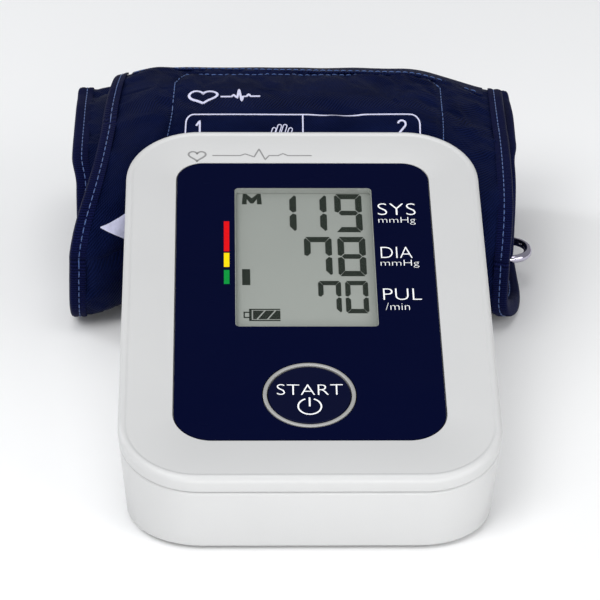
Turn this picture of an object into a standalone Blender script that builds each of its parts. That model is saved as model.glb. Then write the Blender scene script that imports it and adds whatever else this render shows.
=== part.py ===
"""Automatic upper-arm blood pressure monitor with its rolled arm cuff.

Metres, +Z up, +Y away from the user, +X to the right. The monitor is a wedge whose face slopes
up to the back. The cuff lies behind it as a flattened spiral roll along X. The origin is the
middle of the whole set's footprint, on the table.
"""
import math

import bmesh
import bpy
from mathutils import Matrix, Vector

# ---------------------------------------------------------------- driving dimensions
CLEAR = 0.0003              # gap between pieces that touch

FACE_TILT = math.radians(14.0)
FACE_CENTRE = Vector((0.0, 0.0729, 0.0412))     # middle of the dark panel, from the front edge
CASE_WIDTH = 0.1058
CASE_LENGTH = 0.1506        # along the slope
CASE_CORNER = 0.022
BASE_Z = 0.0008             # underside of the case, which stands on its feet
BASE_FRONT = 0.0014
BASE_BACK = 0.1395
BASE_HALF_FRONT = 0.0505
BASE_HALF_BACK = 0.0475
BASE_CORNER = 0.021
WALL = 0.0020
PARTING_DEPTH = 0.0042      # parting line, below the face
FACE_PLATE = 0.0032
LIP_HEIGHT = 0.0014         # the upper case's lip inside the lower case's wall
FLOOR = 0.0018
CORNER_STEPS = 10

PANEL_WIDTH = 0.0750
PANEL_LENGTH = 0.1192
PANEL_THICK = 0.0015
PANEL_CORNER_FRONT = 0.0105
PANEL_CORNER_BACK = 0.0078
PANEL_LEDGE = 0.0035        # width of the ledge that the panel rests on
RECESS_DEPTH = PANEL_THICK + CLEAR
WINDOW_WIDTH = 0.0402
WINDOW_LENGTH = 0.0611
WINDOW_Y = 0.01725          # window centre, up the slope from the panel's centre
BUTTON_Y = -0.0418
RING_OUTER = 0.0129
RING_INNER = 0.0118
CAP_UNDERSIDE = 0.0020
PLUNGER_END = 0.0062
SWITCH_HEIGHT = 0.0014
BOARD_DEPTH = 0.0090        # top of the circuit board, below the face
BOARD_THICK = 0.0016
SPRING_RADIUS = 0.0055
SPRING_TOP = 0.0031         # clear of the pressed cap, below the face
SPRING_FOOT = BOARD_DEPTH - 0.0007
SPRING_TURNS = 3
SPRING_WIRE = 0.0003

BAY_CENTRE_Y = 0.0900
BAY_WIDTH = 0.0640          # along X
BAY_LENGTH = 0.0620         # along Y
BAY_TOP = 0.0178
CELL_RADIUS = 0.0072
CELL_LENGTH = 0.0500
CELL_PITCH = 0.0151
CELL_Z = 0.0103
CELL_NUB = 0.0013           # height of a cell's button contact
COIL_TURNS = 4
COIL_LENGTH = 0.0050
COIL_WIRE = 0.00035
COVER_MARGIN = 0.0030       # the cover is this much larger than the bay on each side
COVER_THICK = 0.0008

SCREW_PLACES = ((-0.038, 0.019), (0.038, 0.019), (-0.0393, 0.1245), (0.0393, 0.1245))
BOSS_MEET = 0.0085          # height where each lower screw boss meets the upper one
FOOT_PLACES = ((-0.030, 0.014), (0.030, 0.014), (-0.018, 0.1315), (0.018, 0.1315))

AIR_HOLE = 0.0049
AIR_PLACE = (0.1080, 0.0290)        # y and z of the air socket, in the left wall
JACK_PLACE = (0.1080, 0.0290)       # y and z of the power socket, in the right wall
AIR_LINE = Vector((-0.0230, 0.1080, 0.0290))    # middle of the air manifold
MANIFOLD = Vector((0.0180, 0.0060, 0.0080))
VALVE_Y = 0.1200
PUMP_Y = 0.1165
PUMP_Z = 0.0308
PUMP_HEAD = Vector((0.0160, 0.0200, 0.0180))
PUMP_HEAD_X = 0.0017
MOTOR_RADIUS = 0.0095
MOTOR_LENGTH = 0.0245
SENSOR_PLACE = (0.020, 0.015)       # on the board, from the panel's centre
SENSOR_HEIGHT = 0.0040

CUFF_CENTRE_Y = 0.1740
CUFF_HALF_DEPTH = 0.0508
CUFF_HEIGHT = 0.0580
CUFF_PITCH = 0.0056         # how far the spiral moves in with each turn
CUFF_START = 52             # degrees: the free end, on the roof towards the back
CUFF_END = 556              # degrees: the ring end, low inside the front
CUFF_STEP = 12
BACK_BULGE = 0.0054         # the layer under the free end stands up behind it
ROOF_SLOPE = 0.06
CUFF_HALF_WIDTH = 0.0668
CUFF_SKEW = 0.0055          # the free end lies this far to the right of the front
CUFF_TAPER = 0.035          # the free end is this share narrower
CUFF_SHIFT = -0.0025
CUFF_NARROW_LEFT = 0.037    # the outer turn is this share narrower than the turn below it
CUFF_NARROW_RIGHT = 0.008
CUFF_WIDE_LEFT = 0.024      # the cloth is this share wider where it turns under
CUFF_WIDE_RIGHT = 0.080
CUFF_DRAWN_IN = 0.4         # share of that width that the inner turn loses on its way down
SLUMP_RIGHT = 0.0085        # the roof's corners sink this far
SLUMP_LEFT = 0.0065
END_SLANT = 8               # degrees: the free end's right side lies further forward
DENT_DEPTH = 0.0190         # the monitor's back presses into the roll's front
DENT_FLAT = 0.0370
DENT_EDGE = 0.0605
INNER_BACK = 0.0205         # the inner turn's front lies this much further back
OUTER_DEPTHS = (0.0009, 0.0015)     # each layer's two faces, below the roll's outer surface
BLADDER_DEPTHS = (0.0018, 0.0027)
LINING_DEPTHS = (0.0030, 0.0036)
FABRIC_HALF = CUFF_HALF_WIDTH - 0.0015
BLADDER_HALF = 0.055
BINDING_DEPTH = 0.0045
BINDING_FABRIC = 0.0006
BINDING_WIDTH = 0.0050

SHEET_MARKS = (0.0, DENT_FLAT, 0.046, 0.055, DENT_EDGE)     # where a sheet bends along X
LAST_STEP = (CUFF_END - CUFF_START) // CUFF_STEP
TURN_STEPS = 360 // CUFF_STEP
BLADDER_STEPS = (1, 27)
PATCH_STEPS = 3
PATCH_HALF = 0.046
HOOK_DEPTHS = (0.0039, 0.0044)
LOOP_DEPTHS = (0.0001, 0.0006)
INLET_ANGLE = 352
INLET_X = -0.028

RING_WIRE = 0.0013
RING_LENGTH = 0.1410
RING_WIDTH = 0.0130
RING_CORNER = 0.0060
RING_CENTRE_X = 0.0023
RING_TILT = 0.0
LOOP_LENGTH = 0.1160
LOOP_OUTER = 0.0026

# ---------------------------------------------------------------- scene and materials
for old in list(bpy.data.objects):
    bpy.data.objects.remove(old, do_unlink=True)

parts = bpy.data.collections.new("blood_pressure_monitor_set")
cutters = bpy.data.collections.new("cutters")
bpy.context.scene.collection.children.link(parts)
bpy.context.scene.collection.children.link(cutters)

set_origin = bpy.data.objects.new("set_origin", None)
parts.objects.link(set_origin)


def material(name, color, roughness, metallic=0.0, alpha=1.0):
    made = bpy.data.materials.new(name)
    made.use_nodes = True
    shader = made.node_tree.nodes["Principled BSDF"]
    shader.inputs["Base Color"].default_value = (*color, 1.0)
    shader.inputs["Roughness"].default_value = roughness
    shader.inputs["Metallic"].default_value = metallic
    shader.inputs["Alpha"].default_value = alpha
    return made


WHITE = material("white_case", (0.72, 0.72, 0.72), 0.42)
NAVY = material("navy_panel", (0.003, 0.004, 0.020), 0.25)
GLASS = material("clear_lens", (0.90, 0.93, 0.92), 0.05, alpha=0.35)
LCD = material("lcd_glass", (0.34, 0.37, 0.33), 0.15)
TRIM = material("silver_trim", (0.45, 0.45, 0.43), 0.35, 0.6)
BLACK = material("black_plastic", (0.02, 0.02, 0.02), 0.5)
BOARD = material("green_board", (0.02, 0.16, 0.07), 0.45)
STEEL = material("steel", (0.60, 0.60, 0.58), 0.35, 1.0)
CHROME = material("chrome", (0.75, 0.75, 0.77), 0.08, 1.0)
BRASS = material("brass", (0.65, 0.48, 0.20), 0.35, 1.0)
RUBBER = material("grey_rubber", (0.12, 0.12, 0.13), 0.8)
SILICONE = material("silicone_tube", (0.55, 0.56, 0.55), 0.5)
CELL = material("cell_jacket", (0.10, 0.22, 0.12), 0.4)
FABRIC_OUT = material("navy_nylon", (0.006, 0.010, 0.045), 0.55)
FABRIC_IN = material("navy_lining", (0.010, 0.016, 0.055), 0.85)
BLADDER = material("bladder_film", (0.05, 0.05, 0.06), 0.5)
HOOK = material("hook_and_loop", (0.008, 0.010, 0.030), 0.95)


# ---------------------------------------------------------------- helpers
def add(name, mesh, look, collection=parts):
    made = bpy.data.objects.new(name, mesh)
    mesh.materials.append(look)
    collection.objects.link(made)
    made.parent = set_origin
    if collection is cutters:
        made.hide_render = True
        made.display_type = "WIRE"
    return made


def smooth(obj, angle=40.0):
    obj.data.shade_smooth()
    obj.data.set_sharp_from_angle(angle=math.radians(angle))
    return obj


def finish_mesh(name, bm, look, collection=parts):
    bmesh.ops.recalc_face_normals(bm, faces=bm.faces)
    mesh = bpy.data.meshes.new(name)
    bm.to_mesh(mesh)
    bm.free()
    return smooth(add(name, mesh, look, collection))


def block(name, size, place, look, collection=parts, bevel=0.0):
    """A box of a given size, its centre at place, a position or a whole matrix."""
    bm = bmesh.new()
    bmesh.ops.create_cube(bm, size=1.0)
    bmesh.ops.scale(bm, vec=size, verts=bm.verts)
    obj = finish_mesh(name, bm, look, collection)
    obj.matrix_local = place if isinstance(place, Matrix) else Matrix.Translation(place)
    if bevel:
        edge = obj.modifiers.new("edges", "BEVEL")
        edge.width = bevel
        edge.segments = 2
    return obj


def rod(name, radius, length, place, look, collection=parts, sides=24):
    """A cylinder along its own Z, its middle at place."""
    bm = bmesh.new()
    bmesh.ops.create_cone(bm, cap_ends=True, segments=sides, radius1=radius, radius2=radius,
                          depth=length)
    obj = finish_mesh(name, bm, look, collection)
    obj.matrix_local = place if isinstance(place, Matrix) else Matrix.Translation(place)
    return obj


def turned(name, profile, place, look, sides=24):
    """A profile of (radius, height) points turned about Z, running down its outer side."""
    bm = bmesh.new()
    made = [bm.verts.new((radius, 0.0, height)) for radius, height in profile]
    for first, second in zip(made, made[1:]):
        bm.edges.new((first, second))
    mesh = bpy.data.meshes.new(name)
    bm.to_mesh(mesh)
    bm.free()
    obj = add(name, mesh, look)
    screw = obj.modifiers.new("turn", "SCREW")
    screw.steps = sides
    screw.render_steps = sides
    screw.use_merge_vertices = True
    screw.merge_threshold = 0.00002
    obj.matrix_local = place if isinstance(place, Matrix) else Matrix.Translation(place)
    return obj


def combine(obj, tool, operation):
    step = obj.modifiers.new(operation.lower() + "_" + tool.name, "BOOLEAN")
    step.operation = operation
    step.solver = "EXACT"
    step.object = tool


def cut(obj, *tools):
    for tool in tools:
        combine(obj, tool, "DIFFERENCE")


def join(obj, *tools):
    for tool in tools:
        combine(obj, tool, "UNION")


def wire(name, points, radius, look, cyclic=False):
    """A round wire or tube through the points."""
    curve = bpy.data.curves.new(name, "CURVE")
    curve.dimensions = "3D"
    curve.bevel_depth = radius
    curve.bevel_resolution = 2
    curve.use_fill_caps = not cyclic
    line = curve.splines.new("POLY")
    line.points.add(len(points) - 1)
    for point, place in zip(line.points, points):
        point.co = (*place, 1.0)
    line.use_cyclic_u = cyclic
    return add(name, curve, look)


def plate(name, outlines, thickness, place, look):
    """A flat plate from closed outlines; the second and later ones are holes."""
    curve = bpy.data.curves.new(name, "CURVE")
    curve.dimensions = "2D"
    curve.fill_mode = "BOTH"
    curve.extrude = thickness / 2
    for outline in outlines:
        line = curve.splines.new("POLY")
        line.points.add(len(outline) - 1)
        for point, (x, y) in zip(line.points, outline):
            point.co = (x, y, 0.0, 1.0)
        line.use_cyclic_u = True
    obj = add(name, curve, look)
    obj.matrix_local = place
    return obj


def circle_outline(radius, centre_y=0.0, steps=32):
    turn = 2 * math.pi / steps
    return [(radius * math.cos(i * turn), centre_y + radius * math.sin(i * turn))
            for i in range(steps)]


def rounded_outline(half_front, half_back, front, back, near, far, steps=CORNER_STEPS):
    """A rounded quadrilateral, symmetric about x = 0, run anticlockwise from the front left.

    near is the radius of its two front corners, and far that of its two back corners.
    """
    corners = ((-half_front + near, front + near, near, 180),
               (half_front - near, front + near, near, 270),
               (half_back - far, back - far, far, 0),
               (-half_back + far, back - far, far, 90))
    points = []
    for x, y, radius, start in corners:
        for i in range(steps + 1):
            angle = math.radians(start + 90 * i / steps)
            points.append((x + radius * math.cos(angle), y + radius * math.sin(angle)))
    return points


def rectangle_outline(width, length, radius, centre_y=0.0, steps=4):
    outline = rounded_outline(width / 2, width / 2, -length / 2, length / 2, radius, radius, steps)
    return [(x, y + centre_y) for x, y in outline]


def panel_outline(grow):
    """The dark panel's outline, grown by a margin; its front corners are the rounder ones."""
    return rounded_outline(PANEL_WIDTH / 2 + grow, PANEL_WIDTH / 2 + grow, -PANEL_LENGTH / 2 - grow,
                           PANEL_LENGTH / 2 + grow, PANEL_CORNER_FRONT + grow,
                           PANEL_CORNER_BACK + grow)


def face_place(x=0.0, y=0.0, depth=0.0):
    """The matrix of a spot on the sloping face, or below it; its Z is the face's normal."""
    face = Matrix.Translation(FACE_CENTRE) @ Matrix.Rotation(FACE_TILT, 4, "X")
    return face @ Matrix.Translation((x, y, -depth))


def loft(name, rings, look, collection=parts, halves=False):
    """One closed body through rings of equal length, with a cap on the first and the last.

    With halves, each ring's second half runs back under its first, and both are split into
    triangles along the same diagonals, so that stacked sheets stay parallel.
    """
    bm = bmesh.new()
    rows = [[bm.verts.new(point) for point in ring] for ring in rings]
    count = len(rows[0])
    for lower, upper in zip(rows, rows[1:]):
        for i in range(count):
            j = (i + 1) % count
            if not halves:
                bm.faces.new((lower[i], lower[j], upper[j], upper[i]))
            elif i < count // 2:
                bm.faces.new((lower[i], lower[j], upper[j]))
                bm.faces.new((lower[i], upper[j], upper[i]))
            else:
                bm.faces.new((lower[i], lower[j], upper[i]))
                bm.faces.new((lower[j], upper[j], upper[i]))
    bm.faces.new(list(reversed(rows[0])))
    bm.faces.new(rows[-1])
    return finish_mesh(name, bm, look, collection)


def prism(name, outline, low, high):
    """A cutter through the sloping face, with a given outline, between two heights above it."""
    rings = [[(x, y, height) for x, y in outline] for height in (low, high)]
    tool = loft(name, rings, WHITE, cutters)
    tool.matrix_local = face_place()
    return tool


# ---------------------------------------------------------------- the case's walls
def wall_lines(inset):
    """Pairs of points, on the base and on the face, that the side walls run between."""
    corner = BASE_CORNER - inset
    base = rounded_outline(BASE_HALF_FRONT - inset, BASE_HALF_BACK - inset, BASE_FRONT + inset,
                           BASE_BACK - inset, corner, corner)
    half = CASE_WIDTH / 2 - inset
    reach = CASE_LENGTH / 2 - inset
    corner = CASE_CORNER - inset
    top = rounded_outline(half, half, -reach, reach, corner, corner)
    slope = face_place()
    return [(Vector((bx, by, BASE_Z)), slope @ Vector((tx, ty, 0.0)))
            for (bx, by), (tx, ty) in zip(base, top)]


def ring_below_face(depth, inset):
    """The case's outline at a depth below the sloping face."""
    normal = face_place().to_3x3() @ Vector((0.0, 0.0, 1.0))
    ring = []
    for low, high in wall_lines(inset):
        share = depth / (high - low).dot(normal)
        ring.append(high.lerp(low, share))
    return ring


def ring_above_base(height, inset):
    """The case's outline at a height above its underside."""
    return [low.lerp(high, height / (high.z - low.z)) for low, high in wall_lines(inset)]


def make_upper_case():
    """Face plate, short side wall, screw bosses and the lip that locates it in the lower case."""
    edge = PARTING_DEPTH - CLEAR
    tip = PARTING_DEPTH + LIP_HEIGHT
    lip_outside = WALL + CLEAR
    lip_inside = 2 * WALL - CLEAR
    rings = [ring_below_face(depth, inset) for depth, inset in
             ((0.0, 0.0010), (0.0003, 0.0004), (0.0010, 0.0), (edge - 0.0004, 0.0), (edge, 0.0004),
              (edge, lip_outside), (tip, lip_outside), (tip, lip_inside), (FACE_PLATE, lip_inside))]
    case = loft("upper_case", rings, WHITE)
    foot = BOSS_MEET + CLEAR
    for number, (x, y) in enumerate(SCREW_PLACES, 1):
        height = face_height(y) - foot - 0.0012
        pilot = height - 0.0048         # stops short of the face
        join(case, rod(f"upper_boss_{number}", 0.0036, height, (x, y, foot + height / 2), WHITE,
                       cutters, 16))
        cut(case, rod(f"pilot_{number}", 0.0018, pilot, (x, y, foot - CLEAR + pilot / 2), WHITE,
                      cutters, 12))
    cut(case, prism("panel_recess", panel_outline(CLEAR), -RECESS_DEPTH, RECESS_DEPTH),
        prism("panel_through", panel_outline(-PANEL_LEDGE), -2 * FACE_PLATE, FACE_PLATE))
    return case


def face_height(y):
    """Height of the sloping face above the table, at a distance y from the front."""
    return FACE_CENTRE.z + (y - FACE_CENTRE.y) * math.tan(FACE_TILT)


def make_lower_case():
    """The tub: walls, floor, battery bay, screw bosses and the holes for the two sockets."""
    rings = [ring_above_base(0.0, 0.0012), ring_above_base(0.0003, 0.0004),
             ring_above_base(0.0011, 0.0), ring_below_face(PARTING_DEPTH + 0.0005, 0.0),
             ring_below_face(PARTING_DEPTH, 0.0005), ring_below_face(PARTING_DEPTH, WALL),
             ring_above_base(FLOOR, WALL)]
    case = loft("lower_case", rings, WHITE)
    wall = 0.0015
    roof = BAY_TOP + 0.0012
    height = roof - BASE_Z - 0.0004
    join(case, block("bay_walls", (BAY_WIDTH + 2 * wall, BAY_LENGTH + 2 * wall, height),
                     (0.0, BAY_CENTRE_Y, roof - height / 2), WHITE, cutters))
    for number, (x, y) in enumerate(SCREW_PLACES, 1):
        height = BOSS_MEET - BASE_Z - 0.0004
        boss = rod(f"lower_boss_{number}", 0.0042, height, (x, y, BOSS_MEET - height / 2), WHITE,
                   cutters, 16)
        join(case, boss)
        cut(case, rod(f"screw_way_{number}", 0.0018, 0.030, (x, y, 0.0060), WHITE, cutters, 12),
            rod(f"screw_sink_{number}", 0.0031, 0.010, (x, y, 0.0005), WHITE, cutters, 12))
    for number, (x, y) in enumerate(FOOT_PLACES, 1):
        cut(case, rod(f"foot_seat_{number}", 0.0048, 0.0020, (x, y, BASE_Z - 0.0004), WHITE,
                      cutters, 16))
    margin = 2 * COVER_MARGIN
    cut(case, block("bay_hollow", (BAY_WIDTH, BAY_LENGTH, 2 * BAY_TOP), (0.0, BAY_CENTRE_Y, 0.0),
                    WHITE, cutters),
        block("bay_ledge", (BAY_WIDTH + margin, BAY_LENGTH + margin, 2 * (COVER_THICK + CLEAR)),
              (0.0, BAY_CENTRE_Y, BASE_Z), WHITE, cutters))
    cut(case, rod("air_socket_way", AIR_HOLE, 0.030, side_place(-1, AIR_PLACE), WHITE, cutters, 16))
    cut(case, block("jack_way", (0.0096, 0.0086, 0.030), side_place(1, JACK_PLACE), WHITE, cutters))
    return case


def side_place(side, place):
    """The matrix of a spot on a side wall; its Z points out of the wall."""
    y, z = place
    share = z / face_height(y)
    base_half = BASE_HALF_FRONT + (BASE_HALF_BACK - BASE_HALF_FRONT) * y / BASE_BACK
    x = base_half + (CASE_WIDTH / 2 - base_half) * share
    return Matrix.Translation((side * x, y, z)) @ Matrix.Rotation(side * math.pi / 2, 4, "Y")


# ---------------------------------------------------------------- face pieces
def make_face_pieces():
    half = PANEL_THICK / 2
    hole = WINDOW_WIDTH + 2 * CLEAR
    plate("front_panel",
          [panel_outline(0.0),
           rectangle_outline(hole, WINDOW_LENGTH + 2 * CLEAR, 0.0013, WINDOW_Y, 2),
           circle_outline(RING_OUTER + CLEAR, BUTTON_Y)],
          PANEL_THICK, face_place(depth=half), NAVY)
    plate("display_lens", [rectangle_outline(WINDOW_WIDTH, WINDOW_LENGTH, 0.0010, 0.0, 2)],
          PANEL_THICK, face_place(0.0, WINDOW_Y, half), GLASS)
    block("lcd_module", (WINDOW_WIDTH + 0.006, WINDOW_LENGTH + 0.006, 0.0028),
          face_place(0.0, WINDOW_Y, 0.0018 + 0.0014 + CLEAR), LCD)
    frame_outer = (WINDOW_WIDTH + 0.010, WINDOW_LENGTH + 0.010)
    plate("lcd_holder",
          [rectangle_outline(*frame_outer, 0.0015, 0.0, 2),
           rectangle_outline(WINDOW_WIDTH - 0.004, WINDOW_LENGTH - 0.004, 0.0010, 0.0, 2)],
          0.0032, face_place(0.0, WINDOW_Y, 0.0052 + 0.0016), BLACK)
    plate("button_ring", [circle_outline(RING_OUTER), circle_outline(RING_INNER)],
          PANEL_THICK + 0.0001, face_place(0.0, BUTTON_Y, half - 0.00005), TRIM)


def make_button():
    """The cap with its plunger, the return spring round the plunger and the switch below."""
    cap = RING_INNER - CLEAR
    profile = ((0.0, 0.0), (cap - 0.0004, 0.0), (cap, -0.0003), (cap, -CAP_UNDERSIDE),
               (0.0030, -CAP_UNDERSIDE), (0.0030, -PLUNGER_END), (0.0, -PLUNGER_END))
    turned("start_button", profile, face_place(0.0, BUTTON_Y), NAVY, 32)
    block("button_switch", (0.0060, 0.0060, SWITCH_HEIGHT),
          face_place(0.0, BUTTON_Y, BOARD_DEPTH - CLEAR - SWITCH_HEIGHT / 2), BLACK)
    points = []
    for i in range(SPRING_TURNS * 10 + 1):
        angle = 2 * math.pi * i / 10
        depth = SPRING_FOOT + (SPRING_TOP - SPRING_FOOT) * i / (SPRING_TURNS * 10)
        points.append(face_place(SPRING_RADIUS * math.cos(angle),
                                 BUTTON_Y + SPRING_RADIUS * math.sin(angle), depth).translation)
    wire("button_spring", points, SPRING_WIRE, STEEL)


def make_board():
    """The circuit board and the parts under it."""
    block("main_board", (0.0660, 0.0850, BOARD_THICK),
          face_place(0.0, -0.0135, BOARD_DEPTH + BOARD_THICK / 2), BOARD)
    under = BOARD_DEPTH + BOARD_THICK + CLEAR
    for name, width, height, x, y in (("controller_chip", 0.014, 0.0016, -0.012, 0.005),
                                      ("pressure_sensor", 0.010, SENSOR_HEIGHT, *SENSOR_PLACE),
                                      ("buzzer", 0.009, 0.0030, -0.024, -0.025)):
        block(name, (width, width, height), face_place(x, y, under + height / 2), BLACK)


# ---------------------------------------------------------------- air system
def make_air_system():
    along_x = Matrix.Rotation(math.pi / 2, 4, "Y")
    motor_x = PUMP_HEAD_X + PUMP_HEAD.x / 2 + CLEAR + MOTOR_LENGTH / 2
    rod("pump_motor", MOTOR_RADIUS, MOTOR_LENGTH,
        Matrix.Translation((motor_x, PUMP_Y, PUMP_Z)) @ along_x, STEEL)
    block("pump_head", PUMP_HEAD, (PUMP_HEAD_X, PUMP_Y, PUMP_Z), BLACK, bevel=0.001)
    block("exhaust_valve", (0.0120, 0.0110, 0.0110), (AIR_LINE.x, VALVE_Y, AIR_LINE.z), STEEL,
          bevel=0.0006)
    block("air_manifold", MANIFOLD, AIR_LINE, BLACK, bevel=0.0006)
    bore = AIR_HOLE - CLEAR
    turned("air_socket",
           ((0.0020, 0.0002), (0.0062, 0.0002), (0.0062, -CLEAR), (bore, -CLEAR), (bore, -0.0110),
            (0.0022, -0.0110), (0.0022, -0.0150), (0.0012, -0.0150), (0.0012, -0.0100),
            (0.0020, -0.0100), (0.0020, 0.0002)),
           side_place(-1, AIR_PLACE) @ Matrix.Translation((0.0, 0.0, 0.0016)), BLACK)
    jack = block("power_jack", (0.0090, 0.0080, 0.0120),
                 side_place(1, JACK_PLACE) @ Matrix.Translation((0.0, 0.0, -0.0056)), BLACK)
    cut(jack, rod("jack_bore", 0.0028, 0.0200,
                  side_place(1, JACK_PLACE) @ Matrix.Translation((0.0, 0.0, 0.0010)),
                  BLACK, cutters, 16))


def tube_route(points, steps=5):
    """A smooth run of points through a few route points (Catmull-Rom)."""
    padded = [points[0], *points, points[-1]]
    route = []
    for a, b, c, d in zip(padded, padded[1:], padded[2:], padded[3:]):
        for i in range(steps):
            t = i / steps
            place = [0.5 * (2 * q + (r - p) * t + (2 * p - 5 * q + 4 * r - s) * t * t
                            + (3 * q - p - 3 * r + s) * t ** 3) for p, q, r, s in zip(a, b, c, d)]
            route.append(place)
    route.append(points[-1])
    return route


def make_air_tubes():
    """Soft tubes from the pump, the valve, the sensor and the socket to the manifold."""
    x, y, z = AIR_LINE
    socket_end = (side_place(-1, AIR_PLACE) @ Vector((0.0, 0.0, -0.0140))).x
    left = x - MANIFOLD.x / 2 - CLEAR
    right = x + MANIFOLD.x / 2 + CLEAR
    wire("socket_tube", [(socket_end, y, z), ((socket_end + left) / 2, y, z), (left, y, z)],
         0.0012, SILICONE)
    head_left = PUMP_HEAD_X - PUMP_HEAD.x / 2 - CLEAR
    bend = y + 0.0015
    wire("pump_tube", [(right, y, z), (right + 0.002, y, z), (head_left - 0.002, bend, z),
                       (head_left, bend, z)], 0.0014, SILICONE)
    back = y + MANIFOLD.y / 2 + CLEAR
    wire("valve_tube", [(x, back, z), (x, (back + VALVE_Y - 0.0058) / 2, z),
                        (x, VALVE_Y - 0.0055 - CLEAR, z)], 0.0014, SILICONE)
    below = BOARD_DEPTH + BOARD_THICK + 2 * CLEAR + SENSOR_HEIGHT
    port = face_place(*SENSOR_PLACE, below).translation
    front = y - MANIFOLD.y / 2 - CLEAR
    bends = tube_route([(port.x, port.y + 0.0008, port.z - 0.0030),
                        (port.x - 0.010, port.y + 0.004, port.z - 0.0050),
                        (x + 0.010, front - 0.0060, z), (x, front - 0.0040, z)], 4)
    wire("sensor_tube", [port, *bends, (x, front - 0.0020, z), (x, front, z)], 0.0012, SILICONE)


# ---------------------------------------------------------------- power
def make_battery_bay():
    margin = 2 * (COVER_MARGIN - CLEAR)
    cover = block("battery_cover", (BAY_WIDTH + margin, BAY_LENGTH + margin, COVER_THICK),
                  (0.0, BAY_CENTRE_Y, BASE_Z + COVER_THICK / 2), WHITE)
    join(cover, block("cover_rib", (BAY_WIDTH - 4 * CLEAR, BAY_LENGTH - 4 * CLEAR, 0.0012),
                      (0.0, BAY_CENTRE_Y, BASE_Z + 0.0012), WHITE, cutters))
    half = CELL_LENGTH / 2
    neck = CELL_RADIUS - 0.0006
    profile = ((0.0, half), (0.0027, half), (0.0027, half - CELL_NUB), (neck, half - CELL_NUB),
               (CELL_RADIUS, half - CELL_NUB - 0.0005), (CELL_RADIUS, 0.0006 - half), (neck, -half),
               (0.0, -half))
    for number in range(4):
        side = 1 if number % 2 == 0 else -1
        y = BAY_CENTRE_Y + (number - 1.5) * CELL_PITCH
        lying = Matrix.Translation((0.0, y, CELL_Z)) @ Matrix.Rotation(side * math.pi / 2, 4, "Y")
        turned(f"battery_{number + 1}", profile, lying, CELL, 16)
        block(f"contact_plate_{number + 1}", (0.0006, 0.0080, 0.0080),
              (side * (half + 0.0005 + CLEAR), y, CELL_Z), BRASS)
        coil = []
        for i in range(COIL_TURNS * 8 + 1):
            angle = 2 * math.pi * i / 8
            share = i / (COIL_TURNS * 8)
            reach = half + 0.0008 + COIL_LENGTH * share
            radius = 0.0022 * (1 + share)
            coil.append((-side * reach, y + radius * math.cos(angle),
                         CELL_Z + radius * math.sin(angle)))
        wire(f"contact_spring_{number + 1}", coil, COIL_WIRE, STEEL)


def make_screws_and_feet():
    for number, (x, y) in enumerate(SCREW_PLACES, 1):
        top = min(0.0200, face_height(y) - 0.0075)
        turned(f"case_screw_{number}",
               ((0.0, top), (0.0007, top), (0.0014, top - 0.0012), (0.0014, 0.0052), (0.0027, 0.0052),
                (0.0027, 0.0040), (0.0011, 0.0040), (0.0011, 0.0048), (0.0, 0.0048)),
               (x, y, 0.0), STEEL, 12)
    for number, (x, y) in enumerate(FOOT_PLACES, 1):
        turned(f"foot_{number}", ((0.0, 0.0011), (0.0045, 0.0011), (0.0045, 0.0003), (0.0042, 0.0),
                                  (0.0, 0.0)), (x, y, 0.0), RUBBER, 16)


# ---------------------------------------------------------------- the cuff's roll
def eased(share):
    """A smooth step: 0 below 0, 1 above 1."""
    share = min(1.0, max(0.0, share))
    return share * share * (3 - 2 * share)


def roll_point(degrees, inward):
    """A point of the roll's spiral cross-section, inward below its outer surface.

    Angles run from the back (0) over the roof (90), the front (180) and the underside (270).
    """
    angle = math.radians(degrees)
    sink = CUFF_PITCH * (degrees - CUFF_START) / 360 + inward
    if math.sin(angle) < 0:
        power = 5.0
    else:
        power = 2.5 if math.cos(angle) < 0 else 3.2
    across = math.copysign(abs(math.cos(angle)) ** (2 / power), math.cos(angle))
    up = math.copysign(abs(math.sin(angle)) ** (2 / power), math.sin(angle))
    y = (CUFF_HALF_DEPTH - sink - INNER_BACK * eased((degrees - 436) / 30)) * across
    z = (CUFF_HEIGHT / 2 - sink) * up
    bulge = eased((degrees - 340) / 50) - eased((degrees - 388) / 24)
    z += BACK_BULGE * bulge * max(0.0, up) + ROOF_SLOPE * y * max(0.0, up)
    rest = CUFF_PITCH * (266 - CUFF_START) / 360
    return y, z + CUFF_HEIGHT / 2 - rest


def cuff_point(x, degrees, inward):
    """A point of the cuff: its place along X, along the wrap and below the outer surface."""
    wound = max(0.0, 1.0 - (degrees - CUFF_START) / 130)
    y, z = roll_point(degrees + END_SLANT * x / CUFF_HALF_WIDTH * wound, inward)
    pressed = eased((DENT_EDGE - abs(x)) / (DENT_EDGE - DENT_FLAT))
    along = 1 - eased((y + CUFF_HALF_DEPTH - 0.012) / 0.050)
    y += DENT_DEPTH * pressed * along * (1 - eased((degrees - 400) / 60))
    if x > 0:
        turned_under = eased((degrees - 190) / 70)
        narrow = CUFF_NARROW_RIGHT * (1 - turned_under)
        wide = CUFF_WIDE_RIGHT * turned_under * (1 - CUFF_DRAWN_IN * eased((degrees - 430) / 50))
    else:
        narrow = CUFF_NARROW_LEFT * (1 - eased((degrees - 70) / 110))
        wide = CUFF_WIDE_LEFT * (eased((degrees - 110) / 90) - eased((degrees - 470) / 40))
    width = 1 - CUFF_TAPER * wound - narrow + wide
    across = x * width + CUFF_SKEW * wound + CUFF_SHIFT
    slump = SLUMP_RIGHT * eased((across - 0.034) / 0.033) + SLUMP_LEFT * eased((-across - 0.044) / 0.022)
    z -= slump * eased((z - 0.034) / 0.026)
    return Vector((across, y + CUFF_CENTRE_Y, z))


def stations(first, last):
    """The wrap's cross-sections, a step apart, between two step numbers."""
    return [CUFF_START + CUFF_STEP * i for i in range(first, last + 1)]


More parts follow.
